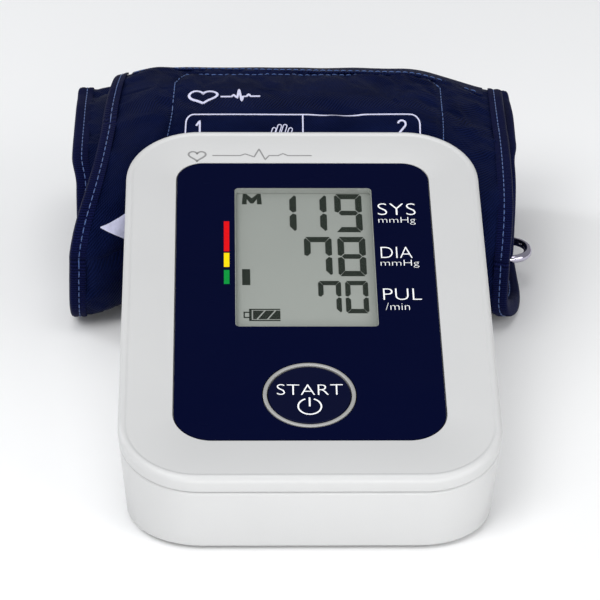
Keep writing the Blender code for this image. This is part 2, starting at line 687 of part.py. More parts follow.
def wrap_sheet(name, half_width, first, last, outside, inside, look):
    """A closed sheet wound along the roll between two step numbers and two depths."""
    right = [mark for mark in SHEET_MARKS if mark <= half_width]
    if half_width > right[-1]:
        right.append(half_width)
    marks = [-mark for mark in reversed(right) if mark] + right
    rings = []
    for degrees in stations(first, last):
        top = [cuff_point(x, degrees, outside) for x in marks]
        bottom = [cuff_point(x, degrees, inside) for x in reversed(marks)]
        rings.append(top + bottom)
    return loft(name, rings, look, parts, halves=True)


def make_cuff_layers():
    wrap_sheet("cuff_lining", FABRIC_HALF, 0, LAST_STEP, *LINING_DEPTHS, FABRIC_IN)
    wrap_sheet("cuff_bladder", BLADDER_HALF, *BLADDER_STEPS, *BLADDER_DEPTHS, BLADDER)
    return wrap_sheet("cuff_outer_fabric", FABRIC_HALF, 0, LAST_STEP, *OUTER_DEPTHS, FABRIC_OUT)


def make_binding(side):
    """A folded tape round one long edge of the wrap: a U section swept along the spiral."""
    edge = side * CUFF_HALF_WIDTH
    lip = side * (CUFF_HALF_WIDTH - BINDING_WIDTH)
    inner_edge = side * (CUFF_HALF_WIDTH - 0.0009)
    section = ((lip, 0.0), (edge, 0.0), (edge, BINDING_DEPTH), (lip, BINDING_DEPTH),
               (lip, BINDING_DEPTH - BINDING_FABRIC), (inner_edge, BINDING_DEPTH - BINDING_FABRIC),
               (inner_edge, BINDING_FABRIC), (lip, BINDING_FABRIC))
    rings = []
    for degrees in stations(0, LAST_STEP):
        rings.append([cuff_point(x, degrees, inward) for x, inward in section])
    name = "edge_binding_right" if side > 0 else "edge_binding_left"
    return loft(name, rings, FABRIC_OUT)


def make_closure():
    """The hook patch under the free end and the loop patch on the layer below it."""
    wrap_sheet("hook_patch", PATCH_HALF, 0, PATCH_STEPS, *HOOK_DEPTHS, HOOK)
    wrap_sheet("loop_patch", PATCH_HALF, TURN_STEPS, TURN_STEPS + PATCH_STEPS, *LOOP_DEPTHS, HOOK)


def ring_bar():
    """The matrix of the ring's hinge bar, at the inner end of the wrap."""
    before = Vector((0.0, *roll_point(CUFF_END - 4, BINDING_DEPTH / 2)))
    last = Vector((0.0, *roll_point(CUFF_END, BINDING_DEPTH / 2)))
    middle = last + (last - before).normalized() * (LOOP_OUTER + 2 * CLEAR)
    return Matrix.Translation(middle + Vector((RING_CENTRE_X, CUFF_CENTRE_Y, 0.0)))


def make_end_ring():
    """The oblong steel ring and the sewn loop that holds its front bar."""
    half = RING_LENGTH / 2
    outline = rounded_outline(half, half, 0.0, RING_WIDTH, RING_CORNER, RING_CORNER)
    ring = wire("cuff_ring", [(x, y, 0.0) for x, y in outline], RING_WIRE, CHROME, cyclic=True)
    ring.matrix_local = ring_bar() @ Matrix.Rotation(RING_TILT, 4, "X")
    inner = RING_WIRE + CLEAR
    half = LOOP_LENGTH / 2
    turned("ring_loop", ((LOOP_OUTER, half), (LOOP_OUTER, -half), (inner, -half), (inner, half),
                         (LOOP_OUTER, half)),
           ring_bar() @ Matrix.Rotation(math.pi / 2, 4, "Y"), FABRIC_OUT, 16)


def make_hose_inlet(fabric):
    """The rubber nipple on the cuff's back, which the air hose pushes onto."""
    y, z = roll_point(INLET_ANGLE, 0.0)
    place = Matrix.Translation((INLET_X, CUFF_CENTRE_Y + y, z)) @ Matrix.Rotation(-math.pi / 2, 4, "X")
    start = -0.0013
    turned("hose_inlet",
           ((0.0015, 0.0085), (0.0024, 0.0085), (0.0030, 0.0065), (0.0026, 0.0060), (0.0026, 0.0022),
            (0.0060, 0.0020), (0.0060, 0.0006), (0.0030, 0.0006), (0.0030, start), (0.0015, start),
            (0.0015, 0.0085)), place, RUBBER, 16)
    cut(fabric, rod("inlet_hole", 0.0034, 0.0036, place, FABRIC_OUT, cutters, 16))


def centre_set():
    """Put the origin at the middle of the footprint, by moving the empty that holds the parts."""
    graph = bpy.context.evaluated_depsgraph_get()
    corners = []
    for obj in parts.objects:
        if obj.type != "EMPTY":
            shape = obj.evaluated_get(graph)
            corners += [shape.matrix_world @ vertex.co for vertex in shape.to_mesh().vertices]
    for axis in (0, 1):
        low = min(corner[axis] for corner in corners)
        high = max(corner[axis] for corner in corners)
        set_origin.location[axis] = -(low + high) / 2
    set_origin.location.z = -min(corner.z for corner in corners)


# ---------------------------------------------------------------- build
make_upper_case()
make_lower_case()
make_face_pieces()
make_button()
make_board()
make_air_system()
make_air_tubes()
make_battery_bay()
make_screws_and_feet()
wrap = make_cuff_layers()
make_hose_inlet(wrap)
make_binding(-1)
make_binding(1)
make_closure()
make_end_ring()
bpy.context.view_layer.update()
centre_set()
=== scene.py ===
"""Looks for the automatic arm blood pressure monitor and its rolled cuff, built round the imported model.

Metres, +Z up, +Y away from the user, +X to the right. Lengths on the cuff are measured along the
flat cloth from its free end, and depths below the roll's outer surface.
"""
import math

import bmesh
import bpy
import numpy as np
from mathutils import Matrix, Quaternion, Vector, noise


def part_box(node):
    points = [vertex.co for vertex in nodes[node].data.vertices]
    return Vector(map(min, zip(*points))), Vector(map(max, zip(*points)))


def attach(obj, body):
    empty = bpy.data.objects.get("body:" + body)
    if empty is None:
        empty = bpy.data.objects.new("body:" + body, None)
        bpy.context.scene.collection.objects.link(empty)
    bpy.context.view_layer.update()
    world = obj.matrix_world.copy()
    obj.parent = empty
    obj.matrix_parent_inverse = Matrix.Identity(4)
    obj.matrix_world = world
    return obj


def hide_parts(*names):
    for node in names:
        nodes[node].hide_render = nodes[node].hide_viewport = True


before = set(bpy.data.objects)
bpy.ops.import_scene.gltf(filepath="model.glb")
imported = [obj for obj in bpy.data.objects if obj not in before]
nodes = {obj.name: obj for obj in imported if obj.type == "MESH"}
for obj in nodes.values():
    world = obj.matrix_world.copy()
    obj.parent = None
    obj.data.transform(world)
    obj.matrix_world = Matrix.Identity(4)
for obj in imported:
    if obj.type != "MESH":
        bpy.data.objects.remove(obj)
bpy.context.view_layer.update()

# ---------------------------------------------------------------- sizes that repeat the CAD's
CLEAR = 0.0003
FACE_TILT = math.radians(14.0)
FACE_CENTRE = Vector((0.0, 0.0729, 0.0412))     # middle of the panel, from the monitor's front edge
CASE_WIDTH = 0.1058
CASE_LENGTH = 0.1506
CASE_CORNER = 0.022
BASE_Z = 0.0008
BASE_FRONT = 0.0014
BASE_BACK = 0.1395
BASE_HALF_FRONT = 0.0505
BASE_HALF_BACK = 0.0475
BASE_CORNER = 0.021
WALL = 0.0020
PARTING_DEPTH = 0.0042
FACE_PLATE = 0.0032
LIP_HEIGHT = 0.0014
PANEL_WIDTH = 0.0750
PANEL_LENGTH = 0.1192
PANEL_THICK = 0.0015
PANEL_CORNER_FRONT = 0.0105
PANEL_CORNER_BACK = 0.0078
PANEL_LEDGE = 0.0035
WINDOW_WIDTH = 0.0402
WINDOW_LENGTH = 0.0611
WINDOW_Y = 0.01725
WINDOW_CORNER = 0.0010
BUTTON_Y = -0.0418
RING_OUTER = 0.0129
RING_INNER = 0.0118

CUFF_CENTRE_Y = 0.1740
CUFF_HALF_DEPTH = 0.0508
CUFF_HEIGHT = 0.0580
CUFF_PITCH = 0.0056
CUFF_START = 52
CUFF_END = 556
BACK_BULGE = 0.0054
ROOF_SLOPE = 0.06
CUFF_HALF_WIDTH = 0.0668
CUFF_SKEW = 0.0055
CUFF_TAPER = 0.035
CUFF_SHIFT = -0.0025
CUFF_NARROW_LEFT = 0.037
CUFF_NARROW_RIGHT = 0.008
CUFF_WIDE_LEFT = 0.024
CUFF_WIDE_RIGHT = 0.080
CUFF_DRAWN_IN = 0.4
SLUMP_RIGHT = 0.0085
SLUMP_LEFT = 0.0065
END_SLANT = 8
DENT_DEPTH = 0.0190
DENT_FLAT = 0.0370
DENT_EDGE = 0.0605
INNER_BACK = 0.0205
OUTER_DEPTHS = (0.0009, 0.0015)
BLADDER_DEPTHS = (0.0018, 0.0027)
LINING_DEPTHS = (0.0030, 0.0036)
HOOK_DEPTHS = (0.0039, 0.0044)
LOOP_DEPTHS = (0.0001, 0.0006)
BLADDER_ANGLES = (CUFF_START + 12, CUFF_START + 12 * 27)
BLADDER_HALF = 0.055
PATCH_HALF = 0.046
PATCH_ANGLES = (0.5, 36)        # a patch's two ends, in degrees past the angle it is set at
FABRIC_HALF = CUFF_HALF_WIDTH - 0.0015
BINDING_DEPTH = 0.0045
BINDING_FABRIC = 0.0006
BINDING_WIDTH = 0.0050
RING_WIRE = 0.0013
RING_LENGTH = 0.1410
RING_WIDTH = 0.0130
RING_CORNER = 0.0060

# smooth steps as (start, length): along the wrap in degrees, otherwise in metres
INNER_STEP = (436, 30)          # the wrap's inner end stands back from the roll's front
BULGE_RISE = (340, 50)          # the roof swells behind the free end
BULGE_FALL = (388, 24)
FREE_END_TURN = 130             # degrees over which the free end straightens
DENT_BACK = (0.012, 0.050)      # the dent fades out over this distance from the roll's front
DENT_END = (400, 60)
RIGHT_UNDER = (190, 70)         # each side's width changes along the wrap
RIGHT_DRAWN_IN = (430, 50)
LEFT_NARROW = (70, 110)
LEFT_WIDE = (110, 90)
LEFT_DRAWN_IN = (470, 40)
SLUMP_RIGHT_STEP = (0.034, 0.033)
SLUMP_LEFT_STEP = (0.044, 0.022)
SLUMP_HEIGHT_STEP = (0.034, 0.026)
UNDERSIDE_POWER = 5.0           # how square the roll's section is
FRONT_POWER = 2.5
BACK_POWER = 3.2
RESTING_ANGLE = 266             # where the roll touches the table

# ---------------------------------------------------------------- places read from the frame
UP_SLOPE = Vector((0.0, math.cos(FACE_TILT), math.sin(FACE_TILT)))
FACE_NORMAL = Vector((0.0, -math.sin(FACE_TILT), math.cos(FACE_TILT)))
panel_low, panel_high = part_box("front_panel")
FACE_MIDDLE = (panel_low + panel_high) / 2 + FACE_NORMAL * PANEL_THICK / 2
MONITOR = FACE_MIDDLE - FACE_CENTRE             # middle of the monitor's front edge, on the table

# ---------------------------------------------------------------- camera, light and floor
CAMERA_FROM_MONITOR = Vector((-0.02507, -0.71475, 0.45133))
CAMERA_AZIMUTH = math.radians(1.694)
CAMERA_DOWN = math.radians(27.596)
CAMERA_ROLL = math.radians(0.780)
CAMERA_SENSOR = 36.0
CAMERA_LENS = 185.89
FLOOR_HALF = 4.0


def new_object(name, data):
    made = bpy.data.objects.new(name, data)
    bpy.context.scene.collection.objects.link(made)
    return made


def make_camera():
    camera = new_object("camera", bpy.data.cameras.new("camera"))
    camera.data.sensor_width = CAMERA_SENSOR
    camera.data.lens = CAMERA_LENS
    camera.data.clip_start = 0.01
    camera.location = MONITOR + CAMERA_FROM_MONITOR
    forward = Vector((math.sin(CAMERA_AZIMUTH) * math.cos(CAMERA_DOWN),
                      math.cos(CAMERA_AZIMUTH) * math.cos(CAMERA_DOWN), -math.sin(CAMERA_DOWN)))
    camera.rotation_mode = "QUATERNION"
    level = forward.to_track_quat("-Z", "Y")
    camera.rotation_quaternion = level @ Quaternion((0.0, 0.0, 1.0), CAMERA_ROLL)
    bpy.context.scene.camera = camera


def make_light(name, place, aim, size, watts, tint=(1.0, 1.0, 1.0)):
    lamp = bpy.data.lights.new(name, "AREA")
    lamp.shape = "RECTANGLE"
    lamp.size, lamp.size_y = size
    lamp.energy = watts
    lamp.color = tint
    light = new_object(name, lamp)
    light.location = place
    light.rotation_mode = "QUATERNION"
    light.rotation_quaternion = (Vector(aim) - Vector(place)).to_track_quat("-Z", "Y")


def make_studio():
    scene = bpy.context.scene
    scene.view_settings.view_transform = "Standard"
    scene.world = bpy.data.worlds.new("studio")
    scene.world.use_nodes = True
    background = scene.world.node_tree.nodes["Background"]
    background.inputs["Color"].default_value = (0.95, 0.97, 1.0, 1.0)
    background.inputs["Strength"].default_value = 0.34
    aim = (0.0, 0.0, 0.03)
    make_light("key", (-0.55, -0.75, 1.05), aim, (0.7, 0.7), 7.5)
    make_light("fill", (0.85, -0.65, 0.55), aim, (0.8, 0.8), 4.6)
    make_light("front", (0.05, -1.30, 0.30), aim, (1.2, 0.4), 6.5)
    make_light("top", (0.0, -0.15, 1.25), aim, (0.9, 0.6), 4.0)
    make_light("rim_left", (-0.9, 0.45, 0.55), aim, (0.3, 0.9), 3.0, (0.95, 0.97, 1.0))
    floor_mesh = bpy.data.meshes.new("floor")
    corners = box_outline(-FLOOR_HALF, -FLOOR_HALF, FLOOR_HALF, FLOOR_HALF)
    floor_mesh.from_pydata([(x, y, 0) for x, y in corners], [], [(0, 1, 2, 3)])
    floor = new_object("floor", floor_mesh)
    floor.location.z = -0.0001
    pale, shader = new_material("pale_floor")
    shader.inputs["Base Color"].default_value = (0.93, 0.93, 0.93, 1.0)
    shader.inputs["Roughness"].default_value = 0.6
    floor_mesh.materials.append(pale)


# ---------------------------------------------------------------- materials
def new_material(name):
    made = bpy.data.materials.new(name)
    made.use_nodes = True
    return made, made.node_tree.nodes["Principled BSDF"]


WAVE_PERIOD = 0.31416       # a Wave texture of scale 1 repeats after 2 pi / 20


class Nodes:
    """Short calls for building one material's node tree."""

    def __init__(self, name):
        self.material, self.shader = new_material(name)
        self.tree = self.material.node_tree

    def node(self, kind, **inputs):
        made = self.tree.nodes.new("ShaderNode" + kind)
        for key, value in inputs.items():
            self.put(made.inputs[key.replace("_", " ")], value)
        return made

    def put(self, socket, value):
        if isinstance(value, bpy.types.NodeSocket):
            self.tree.links.new(value, socket)
        else:
            socket.default_value = value

    def place(self, source="Object", scale=(1.0, 1.0, 1.0), turn=0.0):
        """Texture coordinates, scaled and turned about Z."""
        coordinates = self.node("TexCoord").outputs[source]
        mapping = self.node("Mapping", Vector=coordinates, Scale=scale, Rotation=(0.0, 0.0, turn))
        return mapping.outputs["Vector"]

    def noise(self, where, scale, detail=3.0, roughness=0.5):
        return self.node("TexNoise", Vector=where, Scale=scale, Detail=detail,
                         Roughness=roughness).outputs["Fac"]

    def wave(self, where, period, distortion=0.0, axis="X"):
        made = self.node("TexWave", Vector=where, Scale=WAVE_PERIOD / period, Distortion=distortion)
        made.bands_direction = axis
        return made.outputs["Fac"]

    def math(self, operation, first, second=0.0):
        made = self.tree.nodes.new("ShaderNodeMath")
        made.operation = operation
        self.put(made.inputs[0], first)
        self.put(made.inputs[1], second)
        return made.outputs[0]

    def span(self, value, low, high, from_low=0.0, from_high=1.0):
        """value carried from one range to another, clamped."""
        made = self.tree.nodes.new("ShaderNodeMapRange")
        self.put(made.inputs["Value"], value)
        made.inputs["From Min"].default_value = from_low
        made.inputs["From Max"].default_value = from_high
        made.inputs["To Min"].default_value = low
        made.inputs["To Max"].default_value = high
        return made.outputs["Result"]

    def mix(self, share, first, second, blend="MIX"):
        made = self.tree.nodes.new("ShaderNodeMix")
        made.data_type = "RGBA"
        made.blend_type = blend
        self.put(made.inputs["Factor"], share)
        for socket, value in ((made.inputs["A"], first), (made.inputs["B"], second)):
            colour = [s for s in made.inputs if s.name == socket.name and s.type == "RGBA"][0]
            self.put(colour, value if isinstance(value, bpy.types.NodeSocket) else (*value, 1.0))
        return [s for s in made.outputs if s.type == "RGBA"][0]

    def set(self, **inputs):
        for key, value in inputs.items():
            if isinstance(value, tuple) and len(value) == 3:
                value = (*value, 1.0)
            self.put(self.shader.inputs[key.replace("_", " ")], value)

    def bump(self, height, distance, strength=1.0, below=None):
        made = self.node("Bump", Height=height, Distance=distance, Strength=strength)
        if below is not None:
            self.put(made.inputs["Normal"], below)
        self.put(self.shader.inputs["Normal"], made.outputs["Normal"])
        return made.outputs["Normal"]


def moulded(name, colour, roughness, grain=0.00003, grain_scale=2600.0, edge_wear_and_highlight=0.04):
    """Moulded plastic: a fine spark-eroded grain, uneven gloss, and convex edges a little paler, partly
    rubbed and partly a painted highlight.
    """
    made = Nodes(name)
    where = made.place()
    broad = made.noise(where, 22.0, 4.0)
    fine = made.noise(where, grain_scale, 2.0, 0.6)
    # convex edges painted paler: partly rubbed plastic, partly a painted highlight
    edge = made.span(made.node("NewGeometry").outputs["Pointiness"], 0.0, 1.0, 0.52, 0.62)
    tint = made.mix(made.span(broad, 0.0, 1.0, 0.35, 0.65), [c * 0.975 for c in colour], colour)
    worn_and_highlit_edge_colour = [c + (1.0 - c) * edge_wear_and_highlight for c in colour]
    made.set(Base_Color=made.mix(edge, tint, worn_and_highlit_edge_colour),
             Roughness=made.span(made.noise(where, 60.0, 5.0), roughness - 0.05, roughness + 0.06, 0.3,
                                 0.7))
    made.bump(fine, grain, 0.6)
    return made


def printed_film(name, colour, roughness, specular):
    """A smooth printed film: deep colour, a faint ripple and a few soft smears in its gloss."""
    made = Nodes(name)
    where = made.place()
    smear = made.noise(made.place(scale=(1.0, 3.0, 1.0), turn=0.5), 18.0, 5.0, 0.6)
    made.set(Base_Color=made.mix(made.noise(where, 30.0), [c * 0.9 for c in colour], colour),
             Roughness=made.span(smear, roughness - 0.04, roughness + 0.10, 0.4, 0.75))
    made.set(Specular_IOR_Level=specular)
    made.bump(made.noise(where, 90.0, 2.0), 0.00004, 0.3)
    return made


def ink(name, colour, roughness=0.5):
    """Screen-printed ink with a slightly uneven film."""
    made = Nodes(name)
    patchy = made.noise(made.place(), 900.0, 3.0, 0.7)
    made.set(Base_Color=made.mix(made.span(patchy, 0.0, 1.0, 0.45, 0.75), colour, [c * 0.86 for c in colour]),
             Roughness=made.span(patchy, roughness - 0.08, roughness + 0.1, 0.3, 0.7))
    made.set(Specular_IOR_Level=0.12)
    made.bump(patchy, 0.00001, 0.4)
    return made


def metal(name, colour, roughness, brushed=0.0, metallic=1.0):
    """Plated or brushed metal, with fine scratches along X when brushed."""
    made = Nodes(name)
    where = made.place(scale=(1.0 - 0.95 * brushed, 1.0, 1.0))
    scratch = made.noise(where, 1800.0 if brushed else 500.0, 4.0, 0.7)
    smudge = made.noise(made.place(), 70.0, 4.0, 0.6)
    made.set(Base_Color=made.mix(smudge, colour, [c * 0.9 for c in colour]),
             Roughness=made.span(smudge, max(0.02, roughness - 0.04), roughness + 0.08, 0.35, 0.7))
    made.set(Metallic=metallic)
    made.bump(scratch, 0.000008, 0.3)
    return made


def rubber(name, colour, roughness=0.75):
    made = Nodes(name)
    where = made.place()
    dust = made.span(made.noise(where, 150.0, 5.0, 0.7), 0.0, 1.0, 0.5, 0.8)
    made.set(Base_Color=made.mix(dust, colour, [c * 1.6 + 0.01 for c in colour]),
             Roughness=made.span(dust, roughness - 0.08, roughness + 0.1))
    made.bump(made.noise(where, 1500.0), 0.00004, 0.5)
    return made


def woven(name, warp, weft, pitch, turn, depth, roughness, sheen, folds=0.12):
    """Cloth whose threads run in the UV map's metres: twill when turned, ribs when not, with paler patches of
    painted sheen weighted by folds.
    """
    made = Nodes(name)
    flat = made.place("UV")
    lines = made.place("UV", turn=turn)
    cross = made.place("UV", turn=turn + math.radians(58.0))
    twill = made.wave(lines, pitch, 0.6)
    threads = made.wave(cross, pitch * 0.8, 0.4)
    height = made.math("ADD", made.math("MULTIPLY", twill, 0.7), made.math("MULTIPLY", threads, 0.3))
    gloss_and_sheen_patches = made.span(made.noise(flat, 55.0, 5.0, 0.6), 0.0, 1.0, 0.35, 0.75)
    colour = made.mix(made.span(height, 0.0, 1.0, 0.2, 0.9), warp, weft)
    # paler patches mixed into the colour: a painted sheen standing for glossy folds
    with_painted_sheen = made.mix(made.math("MULTIPLY", gloss_and_sheen_patches, folds * 4.0), colour, [c * 1.5 + 0.002 for c in weft])
    made.set(Base_Color=with_painted_sheen,
             Roughness=made.span(gloss_and_sheen_patches, roughness - 0.08, roughness + 0.08),
             Sheen_Weight=sheen, Sheen_Roughness=0.35, Sheen_Tint=(0.55, 0.65, 1.0),
             Specular_IOR_Level=0.035, Specular_Tint=(0.22, 0.32, 0.90))
    below = made.node("Bump", Height=made.noise(flat, 170.0, 4.0, 0.6), Distance=0.0009,
                      Strength=0.5).outputs["Normal"]
    made.bump(height, depth, 0.8, below)
    return made


def knitted(name, colour, roughness=0.9):
    """Brushed loop cloth: a soft pile over rows of small knit loops."""
    made = Nodes(name)
    flat = made.place("UV")
    loops = made.node("TexVoronoi", Vector=flat, Scale=1300.0).outputs["Distance"]
    pile = made.noise(flat, 2600.0, 3.0, 0.7)
    height = made.math("ADD", loops, pile)
    made.set(Base_Color=made.mix(made.span(height, 0.0, 1.0, 0.4, 1.3), [c * 0.7 for c in colour],
                                 [c * 1.5 for c in colour]), Roughness=roughness,
             Sheen_Weight=0.04, Sheen_Roughness=0.6, Sheen_Tint=(0.45, 0.55, 1.0), Specular_IOR_Level=0.1)
    made.bump(height, 0.0002, 0.8)
    return made


def thread(name, colour):
    """Twisted polyester thread: fine slanting plies, with painted shade in the grooves between them."""
    made = Nodes(name)
    plies = made.wave(made.place(turn=0.7), 0.00022, 0.5)
    # the grooves between the plies are painted darker: painted shade
    made.set(Base_Color=made.mix(plies, [c * 0.55 for c in colour], colour), Roughness=0.55,
             Sheen_Weight=0.3)
    made.bump(plies, 0.00006, 0.7)
    return made


def clear_plastic(name):
    """The clear window: nearly all see-through, with a light gloss."""
    made = Nodes(name)
    where = made.place()
    made.set(Base_Color=(0.10, 0.12, 0.11),
             Roughness=made.span(made.noise(where, 40.0, 4.0), 0.03, 0.08, 0.4, 0.7),
             Alpha=0.04, Specular_IOR_Level=0.25)
    made.bump(made.noise(where, 60.0), 0.00001, 0.1)
    return made


def circuit(name):
    """Solder mask over a faint grid of copper tracks."""
    made = Nodes(name)
    where = made.place()
    along = made.wave(where, 0.0025, 3.0)
    across = made.wave(where, 0.003, 3.0, "Y")
    tracks = made.math("MAXIMUM", along, across)
    copper = made.span(tracks, 0.0, 1.0, 0.90, 0.95)
    made.set(Base_Color=made.mix(copper, (0.02, 0.13, 0.06), (0.05, 0.26, 0.10)), Roughness=0.35)
    made.bump(copper, 0.00003, 0.6)
    return made


WHITE = moulded("satin_white", (0.545, 0.547, 0.546), 0.34)
NAVY = printed_film("navy_film", (0.0008, 0.0020, 0.0195), 0.26, 0.03)
BUTTON = printed_film("navy_button_film", (0.0008, 0.0020, 0.0195), 0.30, 0.08)
LENS = clear_plastic("clear_window")
LCD = printed_film("lcd_grey", (0.325, 0.345, 0.320), 0.50, 0.1)
SEGMENT = ink("lcd_segment", (0.012, 0.017, 0.012), 0.7)
SILVER = metal("silver_coat", (0.38, 0.38, 0.37), 0.45, metallic=0.35)
BLACK = moulded("black_moulded", (0.025, 0.025, 0.026), 0.5)
GREEN = circuit("solder_mask")
STEEL = metal("plated_steel", (0.62, 0.62, 0.60), 0.30, 1.0)
CHROME = metal("bright_chrome", (0.56, 0.53, 0.64), 0.12)
BRASS = metal("spring_brass", (0.70, 0.52, 0.24), 0.30, 1.0)
RUBBER = rubber("grey_foot_rubber", (0.10, 0.10, 0.11))
TUBE = rubber("silicone_rubber", (0.52, 0.53, 0.52), 0.45)
CELL = printed_film("cell_film", (0.05, 0.16, 0.08), 0.35, 0.5)
TWILL = woven("navy_twill", (0.0003, 0.0008, 0.0080), (0.0036, 0.0072, 0.0400), 0.00080,
              math.radians(-38.0), 0.00022, 0.46, 0.004)
TAPE = woven("navy_grosgrain", (0.0004, 0.0010, 0.0100), (0.0056, 0.0076, 0.0440), 0.00075,
             math.radians(90.0), 0.00020, 0.52, 0.005, 0.08)
KNIT = knitted("navy_knit", (0.0050, 0.0080, 0.0380))
HOOK = knitted("hook_tape", (0.0040, 0.0060, 0.0240), 0.95)
FILM = rubber("bladder_rubber", (0.05, 0.05, 0.06), 0.5)
THREAD = thread("blue_thread", (0.050, 0.128, 0.390))
PALE_INK = ink("pale_ink", (0.66, 0.665, 0.86))
WHITE_INK = ink("white_ink", (0.90, 0.91, 0.92), 0.4)
GREY_INK = ink("grey_ink", (0.26, 0.26, 0.26))
RED = ink("red_ink", (0.66, 0.001, 0.004), 0.4)
YELLOW = ink("yellow_ink", (0.90, 0.64, 0.0), 0.4)
LEAF = ink("green_ink", (0.0, 0.255, 0.038), 0.4)


# ---------------------------------------------------------------- mesh helpers
def eased(share):
    """A smooth step: 0 below 0, 1 above 1."""
    share = min(1.0, max(0.0, share))
    return share * share * (3 - 2 * share)


def grid_faces(rows, columns, wrap_rows=False, wrap_columns=False):
    """Quads between neighbouring points of a lattice stored row by row."""
    faces = []
    for i in range(rows if wrap_rows else rows - 1):
        for j in range(columns if wrap_columns else columns - 1):
            here = i * columns
            below = (i + 1) % rows * columns
            right = (j + 1) % columns
            faces.append((here + j, here + right, below + right, below + j))
    return faces


def build_mesh(name, points, faces, flat=None):
    """A mesh as given; flat holds each point's place on the flat cloth."""
    mesh = bpy.data.meshes.new(name)
    mesh.from_pydata([tuple(point) for point in points], [], faces)
    if flat is not None:
        layer = mesh.uv_layers.new(name="cloth")
        for loop in mesh.loops:
            layer.data[loop.index].uv = flat[loop.vertex_index]
    return mesh


def ripple(x, y, z):
    """Smooth noise between about -1 and 1."""
    return noise.noise(Vector((x, y, z)))


def outward(mesh):
    """The mesh with all its faces pointing out."""
    bm = bmesh.new()
    bm.from_mesh(mesh)
    bmesh.ops.recalc_face_normals(bm, faces=bm.faces)
    bm.to_mesh(mesh)
    bm.free()
    return mesh


def show(name, mesh, look, body, stands_for=(), sharp=40.0):
    """Puts a mesh, or a list of (points, faces) shapes, in the scene as a piece that rides on a body."""
    if isinstance(mesh, list):
        mesh = joined(name, mesh)
    obj = new_object(name, mesh)
    mesh.materials.append(look.material)
    mesh.shade_smooth()
    mesh.set_sharp_from_angle(angle=math.radians(sharp))
    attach(obj, body)
    if stands_for:
        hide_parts(*stands_for)
    return obj


def lofted(name, rings, wrap=False, flat=None):
    """Quads through closed rings; wrap joins the last ring to the first, otherwise both are capped."""
    points = [point for ring in rings for point in ring]
    count = len(rings[0])
    faces = grid_faces(len(rings), count, wrap, True)
    if not wrap:
        faces.append(tuple(reversed(range(count))))
        faces.append(tuple(range(len(points) - count, len(points))))
    return outward(build_mesh(name, points, faces, flat))


def joined(name, shapes):
    """One mesh from several (points, faces) shapes."""
    points = []
    faces = []
    for shape_points, shape_faces in shapes:
        start = len(points)
        points += [tuple(point) for point in shape_points]
        faces += [tuple(start + index for index in face) for face in shape_faces]
    return outward(build_mesh(name, points, faces))


def tube(points, radius, sides=12, closed=False):
    """Points and faces of a round tube along a line that never runs straight up its own side."""
    rings = []
    count = len(points)
    side = None
    for i, point in enumerate(points):
        after = points[(i + 1) % count] if closed or i + 1 < count else point
        before = points[i - 1] if closed or i else point
        along = (after - before).normalized()
        side = along.orthogonal() if side is None else side - along * side.dot(along)
        side.normalize()
        across = along.cross(side)
        size = radius(i / (count - 1)) if callable(radius) else radius
        rings.append([point + (side * math.cos(turn) + across * math.sin(turn)) * size
                      for turn in (2 * math.pi * k / sides for k in range(sides))])
    faces = grid_faces(count, sides, closed, True)
    if not closed:
        faces.append(tuple(reversed(range(sides))))
        faces.append(tuple(range(count * sides - sides, count * sides)))
    return [point for ring in rings for point in ring], faces


def prism(outline, low, high, place):
    """Points and faces of a flat shape between two heights, carried by place(x, y, height)."""
    count = len(outline)
    points = [place(x, y, height) for height in (low, high) for x, y in outline]
    faces = grid_faces(2, count, False, True)
    faces.append(tuple(reversed(range(count))))
    faces.append(tuple(range(count, 2 * count)))
    return points, faces


def meshed(curve):
    """The mesh of a text or a filled curve."""
    obj = new_object(curve.name, curve)
    bpy.context.view_layer.update()
    mesh = bpy.data.meshes.new_from_object(obj.evaluated_get(bpy.context.evaluated_depsgraph_get()))
    bpy.data.objects.remove(obj)
    return mesh


def lettering(words, left, right, low, high, place, lift, bold=0.0):
    """Printed words that fill a given rectangle, as points and faces."""
    curve = bpy.data.curves.new("words", "FONT")
    curve.body = words
    curve.offset = bold
    curve.extrude = 0.5
    curve.resolution_u = 4
    mesh = meshed(curve)
    shape = np.array([vertex.co for vertex in mesh.vertices])
    faces = [tuple(face.vertices) for face in mesh.polygons]
    start, end = shape.min(0), shape.max(0)
    share = (shape - start) / (end - start)
    points = [place(left + (right - left) * u, low + (high - low) * v, lift * w) for u, v, w in share]
    return points, faces


def band(line, width):
    """The two sides of a stroke of a given width along a line of (x, y) points."""
    left = []
    right = []
    for i, point in enumerate(line):
        after = line[min(i + 1, len(line) - 1)]
        before = line[max(i - 1, 0)]
        along = Vector((after[0] - before[0], after[1] - before[1])).normalized()
        side = Vector((-along.y, along.x)) * width / 2
        left.append((point[0] + side.x, point[1] + side.y))
        right.append((point[0] - side.x, point[1] - side.y))
    return left, right


def stroke(line, width, low, high, place, closed=False):
    """Points and faces of a printed stroke along a line of (x, y) points."""
    if closed:
        line = [line[-1], *line, line[0], line[1]]
    left, right = band(line, width)
    if closed:
        left, right = left[1:-1], right[1:-1]
    points = []
    for (ax, ay), (bx, by) in zip(left, right):
        points += [place(ax, ay, high), place(bx, by, high), place(bx, by, low), place(ax, ay, low)]
    faces = grid_faces(len(left), 4, False, True)
    faces.append((3, 2, 1, 0))
    last = len(points) - 4
    faces.append((last, last + 1, last + 2, last + 3))
    return points, faces


def arc(x, y, radius, start, end, steps=12, squash=1.0):
    """Points on an arc, between two angles in degrees."""
    turns = [math.radians(start + (end - start) * i / steps) for i in range(steps + 1)]
    return [(x + radius * math.cos(turn), y + radius * squash * math.sin(turn)) for turn in turns]


